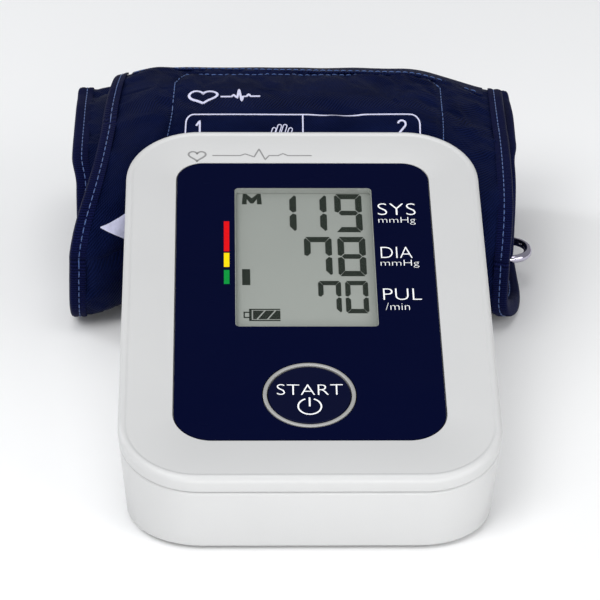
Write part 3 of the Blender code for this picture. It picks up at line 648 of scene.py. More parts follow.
def dense(line, step=0.0012):
    """The same line with points at least every step."""
    points = [line[0]]
    for (ax, ay), (bx, by) in zip(line, line[1:]):
        pieces = max(1, math.ceil(math.hypot(bx - ax, by - ay) / step))
        points += [(ax + (bx - ax) * i / pieces, ay + (by - ay) * i / pieces)
                   for i in range(1, pieces + 1)]
    return points


def soften(obj, width, degrees):
    """Rounds every edge that turns by more than a given angle."""
    edge = obj.modifiers.new("edges", "BEVEL")
    edge.width = width
    edge.segments = 2
    edge.limit_method = "ANGLE"
    edge.angle_limit = math.radians(degrees)


def keep_cad(look, bevel=0.0, *names):
    """CAD nodes that stay in view: merged corners, a small rounded edge, smooth round sides."""
    for name in names:
        obj = nodes[name]
        obj.data.materials.clear()
        obj.data.materials.append(look.material)
        for face in obj.data.polygons:
            face.use_smooth = True
        weld = obj.modifiers.new("weld", "WELD")
        weld.merge_threshold = 0.000002
        if bevel:
            soften(obj, bevel, 35.0)
        split = obj.modifiers.new("sharp", "EDGE_SPLIT")
        split.split_angle = math.radians(34.0)


# ---------------------------------------------------------------- the case
def rounded_outline(half_front, half_back, front, back, near, far, steps=20):
    """A rounded quadrilateral, symmetric about x = 0, run anticlockwise from the front left."""
    corners = ((-half_front + near, front + near, near, 180),
               (half_front - near, front + near, near, 270),
               (half_back - far, back - far, far, 0),
               (-half_back + far, back - far, far, 90))
    points = []
    for x, y, radius, start in corners:
        points += arc(x, y, radius, start, start + 90, steps)
    return points


def on_face(x, y, height=0.0):
    """A point on the sloping face: x to the right and y up the slope from the panel's centre."""
    return FACE_MIDDLE + Vector((x, 0.0, 0.0)) + UP_SLOPE * y + FACE_NORMAL * height


def wall_lines(inset):
    """The side wall's straight lines, as (foot, top) points round the case."""
    corner = BASE_CORNER - inset
    base = rounded_outline(BASE_HALF_FRONT - inset, BASE_HALF_BACK - inset, BASE_FRONT + inset,
                           BASE_BACK - inset, corner, corner)
    half = CASE_WIDTH / 2 - inset
    reach = CASE_LENGTH / 2 - inset
    corner = CASE_CORNER - inset
    top = rounded_outline(half, half, -reach, reach, corner, corner)
    return [(MONITOR + Vector((bx, by, BASE_Z)), on_face(tx, ty))
            for (bx, by), (tx, ty) in zip(base, top)]


def ring_below_face(depth, inset):
    """A ring round the wall at a given depth below the face."""
    return [high.lerp(low, depth / (high - low).dot(FACE_NORMAL)) for low, high in wall_lines(inset)]


def panel_ring(depth, grow):
    """The panel's outline, grown by a given amount and let in below the face."""
    outline = rounded_outline(PANEL_WIDTH / 2 + grow, PANEL_WIDTH / 2 + grow,
                              -PANEL_LENGTH / 2 - grow, PANEL_LENGTH / 2 + grow,
                              PANEL_CORNER_FRONT + grow, PANEL_CORNER_BACK + grow)
    return [on_face(x, y, -depth) for x, y in outline]


BEAD_HEIGHT = 0.00035       # the rim stands this far above the face
BEAD_WIDTH = 0.0027
BEAD_RADIUS = 0.0017
SEAM_ROUND = 0.0004


def make_upper_shell():
    """The face with its raised rim, the panel's recess and the lip under the parting line."""
    edge = PARTING_DEPTH - CLEAR
    recess = PANEL_THICK + CLEAR
    rings = [panel_ring(FACE_PLATE, -PANEL_LEDGE), panel_ring(recess, -PANEL_LEDGE),
             panel_ring(recess, CLEAR), panel_ring(0.00020, CLEAR), panel_ring(0.00006, CLEAR + 0.00006),
             panel_ring(0.0, CLEAR + 0.00020)]
    slope = 6
    for i in range(slope + 1):
        share = i / slope
        inset = BEAD_WIDTH - (BEAD_WIDTH - BEAD_RADIUS) * share
        rings.append(ring_below_face(-BEAD_HEIGHT * eased(share), inset))
    for i in range(1, 9):
        turn = math.radians(90 - 90 * i / 8)
        rings.append(ring_below_face(BEAD_RADIUS * (1 - math.sin(turn)) - BEAD_HEIGHT,
                                     BEAD_RADIUS * (1 - math.cos(turn))))
    for i in range(4):
        turn = math.radians(30 * i)
        rings.append(ring_below_face(edge - SEAM_ROUND * (1 - math.sin(turn)),
                                     SEAM_ROUND * (1 - math.cos(turn))))
    lip_outside = WALL + CLEAR
    lip_inside = 2 * WALL - CLEAR
    tip = PARTING_DEPTH + LIP_HEIGHT
    rings += [ring_below_face(edge, lip_outside), ring_below_face(tip, lip_outside),
              ring_below_face(tip, lip_inside), ring_below_face(FACE_PLATE, lip_inside)]
    show("upper_shell", lofted("upper_shell", rings, wrap=True), WHITE, "monitor",
         ["upper_case"], 30.0)


# ---------------------------------------------------------------- panel, display and button
LCD_TOP = -0.0021           # the display's surface, below the face
SLEEVE_INSIDE = 0.00008     # the sleeve round the window, outward from its edge
SLEEVE_OUTSIDE = 0.00024
SLEEVE_TOP = -0.00015
SLEEVE_FOOT = LCD_TOP + 0.0001
WINDOW_DROP = 0.00005       # the clear window lies this far below the face
PANEL_EDGE = 0.00012        # the panel's broken edge


def window_outline(grow=0.0):
    """The window's outline, grown by a given amount."""
    half = WINDOW_WIDTH / 2 + grow
    corner = WINDOW_CORNER + grow
    return rounded_outline(half, half, WINDOW_Y - WINDOW_LENGTH / 2 - grow,
                           WINDOW_Y + WINDOW_LENGTH / 2 + grow, corner, corner, 6)


def make_panel():
    """The navy panel with a softly broken edge, round the window and round the button."""
    hole = window_outline(CLEAR)
    outline = rounded_outline(PANEL_WIDTH / 2, PANEL_WIDTH / 2, -PANEL_LENGTH / 2, PANEL_LENGTH / 2,
                              PANEL_CORNER_FRONT, PANEL_CORNER_BACK)
    curve = bpy.data.curves.new("panel", "CURVE")
    curve.dimensions = "2D"
    curve.fill_mode = "BOTH"
    curve.extrude = PANEL_THICK / 2
    for points in (outline, hole, arc(0.0, BUTTON_Y, RING_OUTER + CLEAR, 0, 354, 59)):
        line = curve.splines.new("POLY")
        line.points.add(len(points) - 1)
        for point, (x, y) in zip(line.points, points):
            point.co = (x, y, 0.0, 1.0)
        line.use_cyclic_u = True
    mesh = meshed(curve)
    bm = bmesh.new()
    bm.from_mesh(mesh)
    bmesh.ops.remove_doubles(bm, verts=bm.verts, dist=0.00001)
    for vertex in bm.verts:
        vertex.co = on_face(vertex.co.x, vertex.co.y, vertex.co.z - PANEL_THICK / 2)
    bmesh.ops.recalc_face_normals(bm, faces=bm.faces)
    bm.to_mesh(mesh)
    bm.free()
    panel = show("printed_panel", mesh, NAVY, "monitor", ["front_panel"], 30.0)
    soften(panel, PANEL_EDGE, 50.0)


def make_window():
    """The clear window, and the pale sleeve between it and the panel."""
    pane = prism(window_outline(), -PANEL_THICK, -WINDOW_DROP, on_face)
    show("window", [pane], LENS, "monitor", ["display_lens"], 30.0)
    rings = [[on_face(x, y, height) for x, y in window_outline(grow)]
             for grow, height in ((SLEEVE_OUTSIDE, SLEEVE_FOOT), (SLEEVE_OUTSIDE, SLEEVE_TOP),
                                  (SLEEVE_INSIDE, SLEEVE_TOP), (SLEEVE_INSIDE, SLEEVE_FOOT))]
    show("window_sleeve", lofted("window_sleeve", rings, True), LCD, "monitor")


SEGMENTS = {"0": "abcdef", "1": "bc", "7": "abcf", "8": "abcdefg", "9": "abcdfg"}
# each row's foot, height and figures, and each figure's right edge, width and line
DISPLAY_ROWS = ((0.0301, 0.0174, (("1", -0.0021, 0.0081, 0.0020), ("1", 0.0069, 0.0081, 0.0020),
                                  ("9", 0.0174, 0.0081, 0.0019))),
                (0.0104, 0.0174, (("7", 0.0080, 0.0081, 0.0019), ("8", 0.0179, 0.0082, 0.0019))),
                (-0.0057, 0.0139, (("7", 0.0102, 0.0066, 0.0015), ("0", 0.0180, 0.0066, 0.0015))))


def digit(figure, right, low, width, height, line):
    """Outlines of a seven-segment figure, with its right edge and its foot at a given place."""
    left = right - width
    top = low + height
    middle = low + height / 2
    gap = line * 0.14
    soft = line * 0.28
    half = line / 2
    bar = line * 1.3            # the level segments are cut thicker than the upright ones
    half_bar = bar / 2
    shapes = {
        "a": [(left + gap * 2, top), (right - gap * 2, top), (right - line, top - bar + gap),
              (left + line, top - bar + gap)],
        "d": [(left + line, low + bar - gap), (right - line, low + bar - gap), (right - gap * 2, low),
              (left + gap * 2, low)],
        "g": [(left + half + gap, middle), (left + line, middle + half_bar - gap),
              (right - line, middle + half_bar - gap), (right - half - gap, middle),
              (right - line, middle - half_bar + gap), (left + line, middle - half_bar + gap)],
    }
    for name, outer, inner, end, centre, way in (("f", left, left + line, top, middle + gap, 1),
                                                 ("b", right, right - line, top, middle + gap, 1),
                                                 ("e", left, left + line, low, middle - gap, -1),
                                                 ("c", right, right - line, low, middle - gap, -1)):
        side = 1 if inner > outer else -1
        shapes[name] = [(outer, end - way * (gap * 2 + soft)), (outer + side * soft, end - way * gap * 2),
                        (inner, end - way * bar), (inner, centre + way * half_bar),
                        (outer + side * half, centre), (outer, centre + way * soft)]
    return [shapes[name] for name in SEGMENTS[figure]]


def make_display():
    """The display's grey surface and everything that it shows."""
    keep_cad(LCD, 0.0002, "lcd_module")
    outlines = []
    for foot, height, figures in DISPLAY_ROWS:
        for figure, right, width, line in figures:
            outlines += digit(figure, right, foot, width, height, line)
    outlines.append(box_outline(-0.0183, 0.0065, -0.0160, 0.0134))
    outlines += memory_mark(-0.0182, 0.0429, 0.0059, 0.0047)
    outlines += battery_mark(-0.0180, -0.0090, 0.0105, 0.0051)
    shapes = [prism(outline, LCD_TOP - 0.0001, LCD_TOP + 0.00012, on_face) for outline in outlines]
    show("display_segments", shapes, SEGMENT, "monitor")


def memory_mark(x, y, width, height):
    """A bold M, as convex pieces."""
    leg = width * 0.24
    dip = height * 0.42
    top = y + height
    right = x + width
    middle = x + width / 2
    return [[(x, y), (x + leg, y), (x + leg, top - leg * 0.9), (x + leg * 0.9, top), (x + leg * 0.2, top)],
            [(right - leg, y), (right, y), (right - leg * 0.2, top), (right - leg * 0.9, top),
             (right - leg, top - leg * 0.9)],
            [(x + leg * 0.9, top), (x + leg, top - leg * 1.6), (middle - leg * 0.3, y + dip * 0.2),
             (middle, y + dip * 0.2), (middle, y + dip + leg * 0.5)],
            [(right - leg * 0.9, top), (middle, y + dip + leg * 0.5), (middle, y + dip * 0.2),
             (middle + leg * 0.3, y + dip * 0.2), (right - leg, top - leg * 1.6)]]


def battery_mark(x, y, width, height):
    """A battery's outline with two slanting gaps in its charge."""
    line = 0.00035
    nub = 0.0016
    left = x + nub
    right = x + width
    top = y + height
    shapes = [box_outline(left, y, left + 2 * line, top), box_outline(left, y, right, y + line),
              box_outline(left, top - line, right, top)]
    shapes += [box_outline(x, y + height * 0.25, x + line, top - height * 0.25),
               box_outline(x, y + height * 0.25, left, y + height * 0.25 + line),
               box_outline(x, top - height * 0.25 - line, left, top - height * 0.25)]
    inner_low = y + 2.2 * line
    inner_high = top - 2.2 * line
    slant = 0.0022
    gap = 0.0006
    cuts = (left + 3.2 * line, left + 0.0020, left + 0.0050, right)
    for i, (start, end) in enumerate(zip(cuts, cuts[1:])):
        lean = slant if i else 0.0
        end_lean = slant if i < 2 else 0.0
        shapes.append([(start + (gap if i else 0.0), inner_low), (end, inner_low),
                       (min(end + end_lean, right), inner_high),
                       (start + lean + (gap if i else 0.0), inner_high)])
    return shapes


def box_outline(x0, y0, x1, y1):
    return [(x0, y0), (x1, y0), (x1, y1), (x0, y1)]


INK_LIFT = 0.00004          # printed ink stands this far above what it is printed on
INK_SINK = 0.00001          # the panel's print is let in by this much


def on_panel(x, y, height):
    return on_face(x, y, height - INK_SINK)


def make_panel_print():
    """Labels and the pressure scale on the panel."""
    words = (("SYS", 0.02195, 0.03315, 0.0355, 0.0408), ("mmHg", 0.0220, 0.0329, 0.0311, 0.0345),
             ("DIA", 0.0221, 0.0313, 0.0161, 0.0210), ("mmHg", 0.0219, 0.0331, 0.0118, 0.0152),
             ("PUL", 0.0221, 0.0331, -0.0023, 0.0026), ("/min", 0.0226, 0.0295, -0.0066, -0.0036))
    shapes = [lettering(text, left, right, low, high, on_panel, INK_LIFT, -0.018)
              for text, left, right, low, high in words]
    show("panel_labels", shapes, WHITE_INK, "monitor")
    bands = (("scale_high", RED, 0.0190, 0.0325), ("scale_raised", YELLOW, 0.0121, 0.0183),
             ("scale_normal", LEAF, 0.0046, 0.0107))
    for name, look, low, high in bands:
        outline = box_outline(-0.0236, low, -0.0220, high)
        show(name, [prism(outline, 0.0, INK_LIFT, on_panel)], look, "monitor")


def make_face_mark():
    """A small grey heart and pulse line above the panel."""
    shapes = [stroke(dense(pulse_line(-0.0270, 0.0633, 0.0300, 0.0032), 0.0006), 0.00045, 0.0, INK_LIFT,
                     on_face),
              stroke(heart_line(-0.0316, 0.0632, 0.0026), 0.0006, 0.0, INK_LIFT, on_face, True)]
    show("face_mark", shapes, GREY_INK, "monitor")


def pulse_line(x, y, length, height):
    """A heartbeat trace: flat, a small bump, a tall spike and flat again."""
    beats = ((0.0, 0.0), (0.28, 0.0), (0.33, 0.25), (0.38, 0.0), (0.42, -0.2), (0.47, 1.0), (0.53, -0.6),
             (0.57, 0.0), (0.66, 0.0), (0.71, 0.3), (0.76, 0.0), (1.0, 0.0))
    return [(x + length * along, y + height * up) for along, up in beats]


def heart_line(x, y, size, steps=36):
    """A heart's closed outline about its middle."""
    points = []
    for i in range(steps):
        turn = 2 * math.pi * i / steps
        wide = math.sin(turn) ** 3
        tall = (13 * math.cos(turn) - 5 * math.cos(2 * turn)
                - 2 * math.cos(3 * turn) - math.cos(4 * turn)) / 16
        points.append((x + size * wide, y + size * tall))
    return points


def turned(name, profile, look, body, stands_for, steps=72, sharp=30.0):
    """A profile of (radius, height) points turned about the button's axis, closed at both ends."""
    rings = []
    for radius, height in profile:
        circle = arc(0.0, BUTTON_Y, max(radius, 0.00001), 0, 360 - 360 / steps, steps - 1)
        rings.append([on_face(x, y, height) for x, y in circle])
    wrap = profile[0][0] > 0.001
    return show(name, lofted(name, rings, wrap=wrap), look, body, stands_for, sharp)


RING_CREST = 0.00022        # the silver ring's top, above the face
CAP_DISH = 0.00022          # the button's hollow
CAP_DEPTH = 0.0020
STEM_RADIUS = 0.0030
STEM_FOOT = 0.0062


def make_button():
    """The silver ring, and the button with its print."""
    middle = (RING_OUTER + RING_INNER) / 2
    half = (RING_OUTER - RING_INNER) / 2
    turns = [math.radians(180 * i / 8) for i in range(9)]
    crest = [(middle - half * math.cos(turn), RING_CREST * math.sin(turn)) for turn in turns]
    turned("silver_ring", [(RING_INNER, -PANEL_THICK), *crest, (RING_OUTER, -PANEL_THICK)], SILVER,
           "monitor", ["button_ring"])
    cap = RING_INNER - CLEAR
    dish = [(cap * share, -CAP_DISH * (1 - share * share)) for share in (0.0, 0.2, 0.4, 0.6, 0.8, 0.93)]
    profile = [*dish, (cap - 0.00035, -0.00004), (cap - 0.0001, -0.00012), (cap, -0.00035), (cap, -CAP_DEPTH),
               (STEM_RADIUS, -CAP_DEPTH), (STEM_RADIUS, -STEM_FOOT), (0.0, -STEM_FOOT)]
    turned("start_cap", profile, BUTTON, "start_button", ["start_button"])

    def on_cap(x, y, height):
        reach = math.hypot(x, y - BUTTON_Y) / cap
        return on_face(x, y, height - CAP_DISH * (1 - reach * reach))

    sign_y = -0.0463
    shapes = [lettering("START", -0.0090, 0.0093, -0.0417, -0.0375, on_cap, INK_LIFT, -0.018),
              stroke(arc(0.0, sign_y, 0.0032, 112, 428, 40), 0.00044, 0.0, INK_LIFT, on_cap),
              stroke([(0.0, sign_y + 0.0036), (0.0, sign_y + 0.0018), (0.0, sign_y)], 0.00048, 0.0, INK_LIFT,
                     on_cap)]
    show("start_print", shapes, WHITE_INK, "start_button")


# ---------------------------------------------------------------- the cuff's roll
def step(value, span):
    """A smooth step over a (start, length) span."""
    start, length = span
    return eased((value - start) / length)


def roll_point(degrees, inward):
    """A point of the roll's spiral cross-section, inward below its outer surface."""
    angle = math.radians(degrees)
    sink = CUFF_PITCH * (degrees - CUFF_START) / 360 + inward
    if math.sin(angle) < 0:
        power = UNDERSIDE_POWER
    else:
        power = FRONT_POWER if math.cos(angle) < 0 else BACK_POWER
    across = math.copysign(abs(math.cos(angle)) ** (2 / power), math.cos(angle))
    up = math.copysign(abs(math.sin(angle)) ** (2 / power), math.sin(angle))
    y = (CUFF_HALF_DEPTH - sink - INNER_BACK * step(degrees, INNER_STEP)) * across
    z = (CUFF_HEIGHT / 2 - sink) * up
    bulge = step(degrees, BULGE_RISE) - step(degrees, BULGE_FALL)
    z += BACK_BULGE * bulge * max(0.0, up) + ROOF_SLOPE * y * max(0.0, up)
    rest = CUFF_PITCH * (RESTING_ANGLE - CUFF_START) / 360
    return y, z + CUFF_HEIGHT / 2 - rest


def cuff_point(x, degrees, inward):
    """A point of the cuff: its place along X, along the wrap and below the outer surface."""
    wound = max(0.0, 1.0 - (degrees - CUFF_START) / FREE_END_TURN)
    y, z = roll_point(degrees + END_SLANT * x / CUFF_HALF_WIDTH * wound, inward)
    pressed = eased((DENT_EDGE - abs(x)) / (DENT_EDGE - DENT_FLAT))
    along = 1 - step(y + CUFF_HALF_DEPTH, DENT_BACK)
    y += DENT_DEPTH * pressed * along * (1 - step(degrees, DENT_END))
    if x > 0:
        turned_under = step(degrees, RIGHT_UNDER)
        narrow = CUFF_NARROW_RIGHT * (1 - turned_under)
        wide = CUFF_WIDE_RIGHT * turned_under * (1 - CUFF_DRAWN_IN * step(degrees, RIGHT_DRAWN_IN))
    else:
        narrow = CUFF_NARROW_LEFT * (1 - step(degrees, LEFT_NARROW))
        wide = CUFF_WIDE_LEFT * (step(degrees, LEFT_WIDE) - step(degrees, LEFT_DRAWN_IN))
    width = 1 - CUFF_TAPER * wound - narrow + wide
    across = x * width + CUFF_SKEW * wound + CUFF_SHIFT
    slump = SLUMP_RIGHT * step(across, SLUMP_RIGHT_STEP) + SLUMP_LEFT * step(-across, SLUMP_LEFT_STEP)
    z -= slump * step(z, SLUMP_HEIGHT_STEP)
    return MONITOR + Vector((across, y + CUFF_CENTRE_Y, z))


MARGIN = 8                  # degrees that the length scale runs on past both ends of the wrap
roll_angles = np.arange(CUFF_START - MARGIN, CUFF_END + MARGIN + 0.5, 0.5)
roll_line = np.array([cuff_point(CUFF_HALF_WIDTH, angle, 0.0) for angle in roll_angles])
roll_lengths = np.concatenate([[0.0], np.cumsum(np.linalg.norm(np.diff(roll_line, axis=0), axis=1))])
roll_lengths -= roll_lengths[2 * MARGIN]
WRAP_LENGTH = float(np.interp(CUFF_END, roll_angles, roll_lengths))


def on_wrap(x, s, depth):
    """A point of the cuff by its place on the flat cloth, s metres from the free end."""
    return cuff_point(x, float(np.interp(s, roll_lengths, roll_angles)), depth)


def lattice(half, first, last, depth, step_x, step_s):
    """Points of one face of a layer, row by row along the wrap, with their places on the flat cloth."""
    columns = math.ceil(2 * half / step_x) + 1
    rows = math.ceil((last - first) / step_s) + 1
    xs = np.linspace(-half, half, columns)
    ss = np.linspace(first, last, rows)
    points = np.array([[on_wrap(x, s, depth) for x in xs] for s in ss])
    return points, xs, ss


def sheet_faces(rows, columns, turned_over=True):
    """Faces of a closed sheet of two lattices, the second turned over or not, and their rim."""
    count = rows * columns
    first = grid_faces(rows, columns)
    rim = list(range(columns)) + [i * columns + columns - 1 for i in range(1, rows)]
    rim += [count - 1 - j for j in range(1, columns)] + [i * columns for i in range(rows - 2, 0, -1)]
    second = [tuple(count + i for i in (reversed(face) if turned_over else face)) for face in first]
    return first + second + [(a, b, b + count, a + count) for a, b in zip(rim, rim[1:] + rim[:1])]


def slab(name, top, bottom, xs, ss):
    """A closed sheet between two lattices of points."""
    points = np.concatenate([top.reshape(-1, 3), bottom.reshape(-1, 3)])
    flat = [(x, s) for s in ss for x in xs] * 2
    return outward(build_mesh(name, points, sheet_faces(*top.shape[:2]), flat))


# ---------------------------------------------------------------- the outer cloth
SEAM_X = CUFF_HALF_WIDTH - 0.0030      # the bindings' stitching
PUFF_OUT = 0.0009                      # most that the simulated cloth may rise
PUFF_IN = 0.00025
SIM_FRAMES = 20
SIM_PRESSURE = 2.5
SIM_SHRINK = -0.035                    # negative: the simulated cloth grows by this share
SEAM_HELD = 0.0012                     # the sewn line holds the cloth this far to each side
CLOTH_STEPS = (0.0016, 0.0018)         # lattice steps across and along the wrap
LAYER_STEPS = (0.0030, 0.0024)
SOFT_FOLD = 0.00030                    # heights of the folds and gathers
SLANTING_FOLD = 0.00022
EDGE_GATHER = 0.00040
SEAM_GATHER = 0.00020
SEAM_GROOVE = 0.00035
FOLD_LIMITS = (-0.00045, 0.0008)

cloth_rest, cloth_x, cloth_s = lattice(FABRIC_HALF, 0.0, WRAP_LENGTH, OUTER_DEPTHS[0], *CLOTH_STEPS)


def lattice_normals(points):
    """Unit normals pointing out of the roll."""
    normal = np.cross(np.gradient(points, axis=1), np.gradient(points, axis=0))
    normal /= np.linalg.norm(normal, axis=2, keepdims=True)
    middle = np.array(MONITOR + Vector((0.0, CUFF_CENTRE_Y, CUFF_HEIGHT / 2)))
    facing = ((points - middle) * normal).sum(axis=2)
    return normal * np.sign(facing.mean())


cloth_normal = lattice_normals(cloth_rest)


ROOF_SHIFT = 0.0078                    # the print and the patch lie this far forward of their nominal place


def find_flat(across, target, axis, s):
    """The flat place whose point on the cloth has a given X and, on the given axis, a given place."""
    x = across
    for _ in range(25):
        here = on_wrap(x, s, OUTER_DEPTHS[0]) - MONITOR
        x += across - here.x
        s += 0.8 * (here[axis] - target)
    return x, s


def find_on_roof(across, back):
    """The flat place under a point given across and back from the monitor's front edge."""
    return find_flat(across, back - ROOF_SHIFT, 1, 0.03)


def find_on_front(across, height):
    """The flat place behind a point given across and up from the table."""
    return find_flat(across, height, 2, 0.10)


SEAM_CORNERS = ((-0.0415, 0.150), (-0.0390, 0.203), (-0.0355, 0.2105), (0.0415, 0.2105), (0.0460, 0.2045),
                (0.0435, 0.150))
seam_line = dense([find_on_roof(x, y) for x, y in SEAM_CORNERS], 0.0008)


def seam_distance():
    """How far each lattice point lies from the hook patch's stitched line, on the flat cloth."""
    grid = np.stack(np.meshgrid(cloth_x, cloth_s), axis=2)
    nearest = np.full(grid.shape[:2], 1.0)
    for point in np.array(seam_line):
        nearest = np.minimum(nearest, np.linalg.norm(grid - point, axis=2))
    return nearest


def puffed_by_air():
    """How far a cloth simulation lifts each lattice point, held at its bindings, ends and seam."""
    mesh = build_mesh("air", cloth_rest.reshape(-1, 3), grid_faces(*cloth_rest.shape[:2]))
    obj = new_object("air", mesh)
    held = (np.abs(cloth_x)[None, :] > SEAM_X - 0.001) | (seam_gap < SEAM_HELD)
    held[:3] = held[-3:] = True
    pins = obj.vertex_groups.new(name="pins")
    pins.add([int(i) for i in np.flatnonzero(held)], 1.0, "REPLACE")
    cloth = obj.modifiers.new("cloth", "CLOTH")
    settings = cloth.settings
    settings.vertex_group_mass = "pins"
    settings.effector_weights.gravity = 0.0
    settings.mass = 0.02
    settings.quality = 6
    settings.shrink_min = SIM_SHRINK
    settings.use_pressure = True
    settings.uniform_pressure_force = SIM_PRESSURE * float(np.sign((cloth_normal * face_way()).sum()))
    for frame_number in range(1, SIM_FRAMES + 1):
        bpy.context.scene.frame_set(frame_number)
    graph = bpy.context.evaluated_depsgraph_get()
    moved = np.array([vertex.co for vertex in obj.evaluated_get(graph).data.vertices])
    bpy.context.scene.frame_set(1)
    bpy.data.objects.remove(obj)
    lift = ((moved.reshape(cloth_rest.shape) - cloth_rest) * cloth_normal).sum(axis=2)
    return np.clip(lift, -PUFF_IN, PUFF_OUT)


def face_way():
    """The way that the lattice's own faces point."""
    return np.cross(np.gradient(cloth_rest, axis=1), np.gradient(cloth_rest, axis=0))


def wrinkles():
    """Soft folds, gathers beside the bindings, and a groove with gathers along the sewn line."""
    height = np.zeros(cloth_rest.shape[:2])
    for i, s in enumerate(cloth_s):
        for j, x in enumerate(cloth_x):
            soft = ripple(x * 22.0, s * 30.0, 4.0)
            slanting = ripple(x * 40.0 + s * 26.0, s * 70.0 - x * 30.0, 9.0)
            near_edge = math.exp(-(SEAM_X - abs(x)) / 0.010) if abs(x) < SEAM_X else 1.0
            gather = ripple(x * 30.0, s * 210.0, 2.0) * near_edge
            gap = seam_gap[i, j]
            groove = -SEAM_GROOVE * math.exp(-(gap / 0.0011) ** 2)
            sewn = ripple(x * 260.0, s * 260.0, 7.0) * math.exp(-gap / 0.004)
            height[i, j] = (SOFT_FOLD * soft + SLANTING_FOLD * slanting + EDGE_GATHER * gather + groove
                            + SEAM_GATHER * sewn)
    return np.clip(height, *FOLD_LIMITS)


seam_gap = seam_distance()
cloth_top = cloth_rest + cloth_normal * (puffed_by_air() + wrinkles())[:, :, None]


def on_cloth(x, s, lift=0.0):
    """A point a little above the finished outer cloth."""
    u = float(np.interp(x, cloth_x, range(len(cloth_x))))
    v = float(np.interp(s, cloth_s, range(len(cloth_s))))
    j = min(int(u), len(cloth_x) - 2)
    i = min(int(v), len(cloth_s) - 2)
    a, b = u - j, v - i
    weights = (((1 - a) * (1 - b), i, j), (a * (1 - b), i, j + 1),
               ((1 - a) * b, i + 1, j), (a * b, i + 1, j + 1))
    place = sum(w * (cloth_top[m, n] + cloth_normal[m, n] * lift) for w, m, n in weights)
    return Vector(place)


def make_outer_cloth():
    bottom = cloth_top - cloth_normal * (OUTER_DEPTHS[1] - OUTER_DEPTHS[0])
    obj = show("outer_cloth", slab("outer_cloth", cloth_top, bottom, cloth_x, cloth_s), TWILL, "cuff",
               ["cuff_outer_fabric"], 60.0)


def make_layer(name, half, first, last, depths, look, stands_for, swell=0.0):
    """A sheet inside the wrap, with faint folds of its own."""
    top, xs, ss = lattice(half, first, last, depths[0], *LAYER_STEPS)
    bottom = lattice(half, first, last, depths[1], *LAYER_STEPS)[0]
    waves = np.array([[ripple(x * 28.0, s * 36.0, 12.0) for x in xs] for s in ss])
    normal = lattice_normals(top)
    shift = normal * (0.00010 * waves)[:, :, None]
    crown = 0.0
    if swell:
        across = np.clip((half - np.abs(xs)) / 0.012, 0.0, 1.0) ** 0.5
        crown = normal * (swell * (across - 1.0))[None, :, None] / 2
    return show(name, slab(name, top + shift + crown, bottom + shift - crown, xs, ss), look, "cuff",
                stands_for, 60.0)


def make_inner_layers():
    lining = make_layer("inner_lining", FABRIC_HALF, 0.0, WRAP_LENGTH, LINING_DEPTHS, KNIT,
                        ["cuff_lining"])
    start, end = (float(np.interp(angle, roll_angles, roll_lengths)) for angle in BLADDER_ANGLES)
    bladder = make_layer("air_bladder", BLADDER_HALF, start, end, BLADDER_DEPTHS, FILM,
                         ["cuff_bladder"], 0.0006)
    for name, node, angle, depths in (("hook_tape", "hook_patch", CUFF_START, HOOK_DEPTHS),
                                      ("loop_tape", "loop_patch", CUFF_START + 360, LOOP_DEPTHS)):
        start, end = (float(np.interp(angle + on, roll_angles, roll_lengths)) for on in PATCH_ANGLES)
        make_layer(name, PATCH_HALF, start, end, depths, HOOK, [node])


# ---------------------------------------------------------------- bindings, hem and ring loop
BINDING_STEP = 0.0016


def binding_section(side):
    """The tape's folded section as (x, depth) points: out along the top, round the edge and back."""
    edge = CUFF_HALF_WIDTH
    lip = CUFF_HALF_WIDTH - BINDING_WIDTH
    half = BINDING_DEPTH / 2
    outside = [(lip, 0.00012), (lip + 0.0006, -0.00004), (lip + 0.0014, -0.00002), (SEAM_X - 0.0007, 0.00004),
               (SEAM_X, 0.00020), (SEAM_X + 0.0007, 0.00002), (SEAM_X + 0.0018, -0.00010),
               (edge - 0.0022, -0.00006)]
    outside += [(edge - 0.0012 + 0.0012 * math.sin(turn) ** 0.8, half - half * math.cos(turn))
                for turn in (math.pi * i / 10 for i in range(1, 10))]
    outside += [(edge - 0.0022, BINDING_DEPTH), (SEAM_X + 0.0012, BINDING_DEPTH),
                (SEAM_X, BINDING_DEPTH - 0.0001), (lip, BINDING_DEPTH)]
    inner = edge - 0.0014
    inside = [(lip, BINDING_DEPTH - BINDING_FABRIC), (inner, BINDING_DEPTH - BINDING_FABRIC),
              (inner, BINDING_FABRIC + 0.0002), (lip, BINDING_FABRIC + 0.0002)]
    return [(side * x, depth) for x, depth in outside + inside]


def binding_ruffle(side, s):
    """The binding is drawn in and out a little along its length."""
    return 0.00022 * ripple(side * 5.0, s * 120.0, 1.0)


def sweep(name, start, end, steps, section_at, look, stands_for=()):
    """A folded tape: section_at gives its section's points and flat places at one place of the sweep."""
    rings = []
    flat = []
    for i in range(steps + 1):
        ring, places = section_at(start + (end - start) * i / steps)
        rings.append(ring)
        flat += places
    show(name, lofted(name, rings, flat=flat), look, "cuff", stands_for, 55.0)


def make_binding(name, side, node):
    section = binding_section(side)
    lengths = [0.0]
    for (ax, ad), (bx, bd) in zip(section, section[1:]):
        lengths.append(lengths[-1] + math.hypot(bx - ax, bd - ad))

    def section_at(s):
        ruffle = binding_ruffle(side, s)
        return [on_wrap(x, s, depth + ruffle) for x, depth in section], [(length, s) for length in lengths]

    sweep(name, 0.0, WRAP_LENGTH, math.ceil(WRAP_LENGTH / BINDING_STEP), section_at, TAPE, [node])


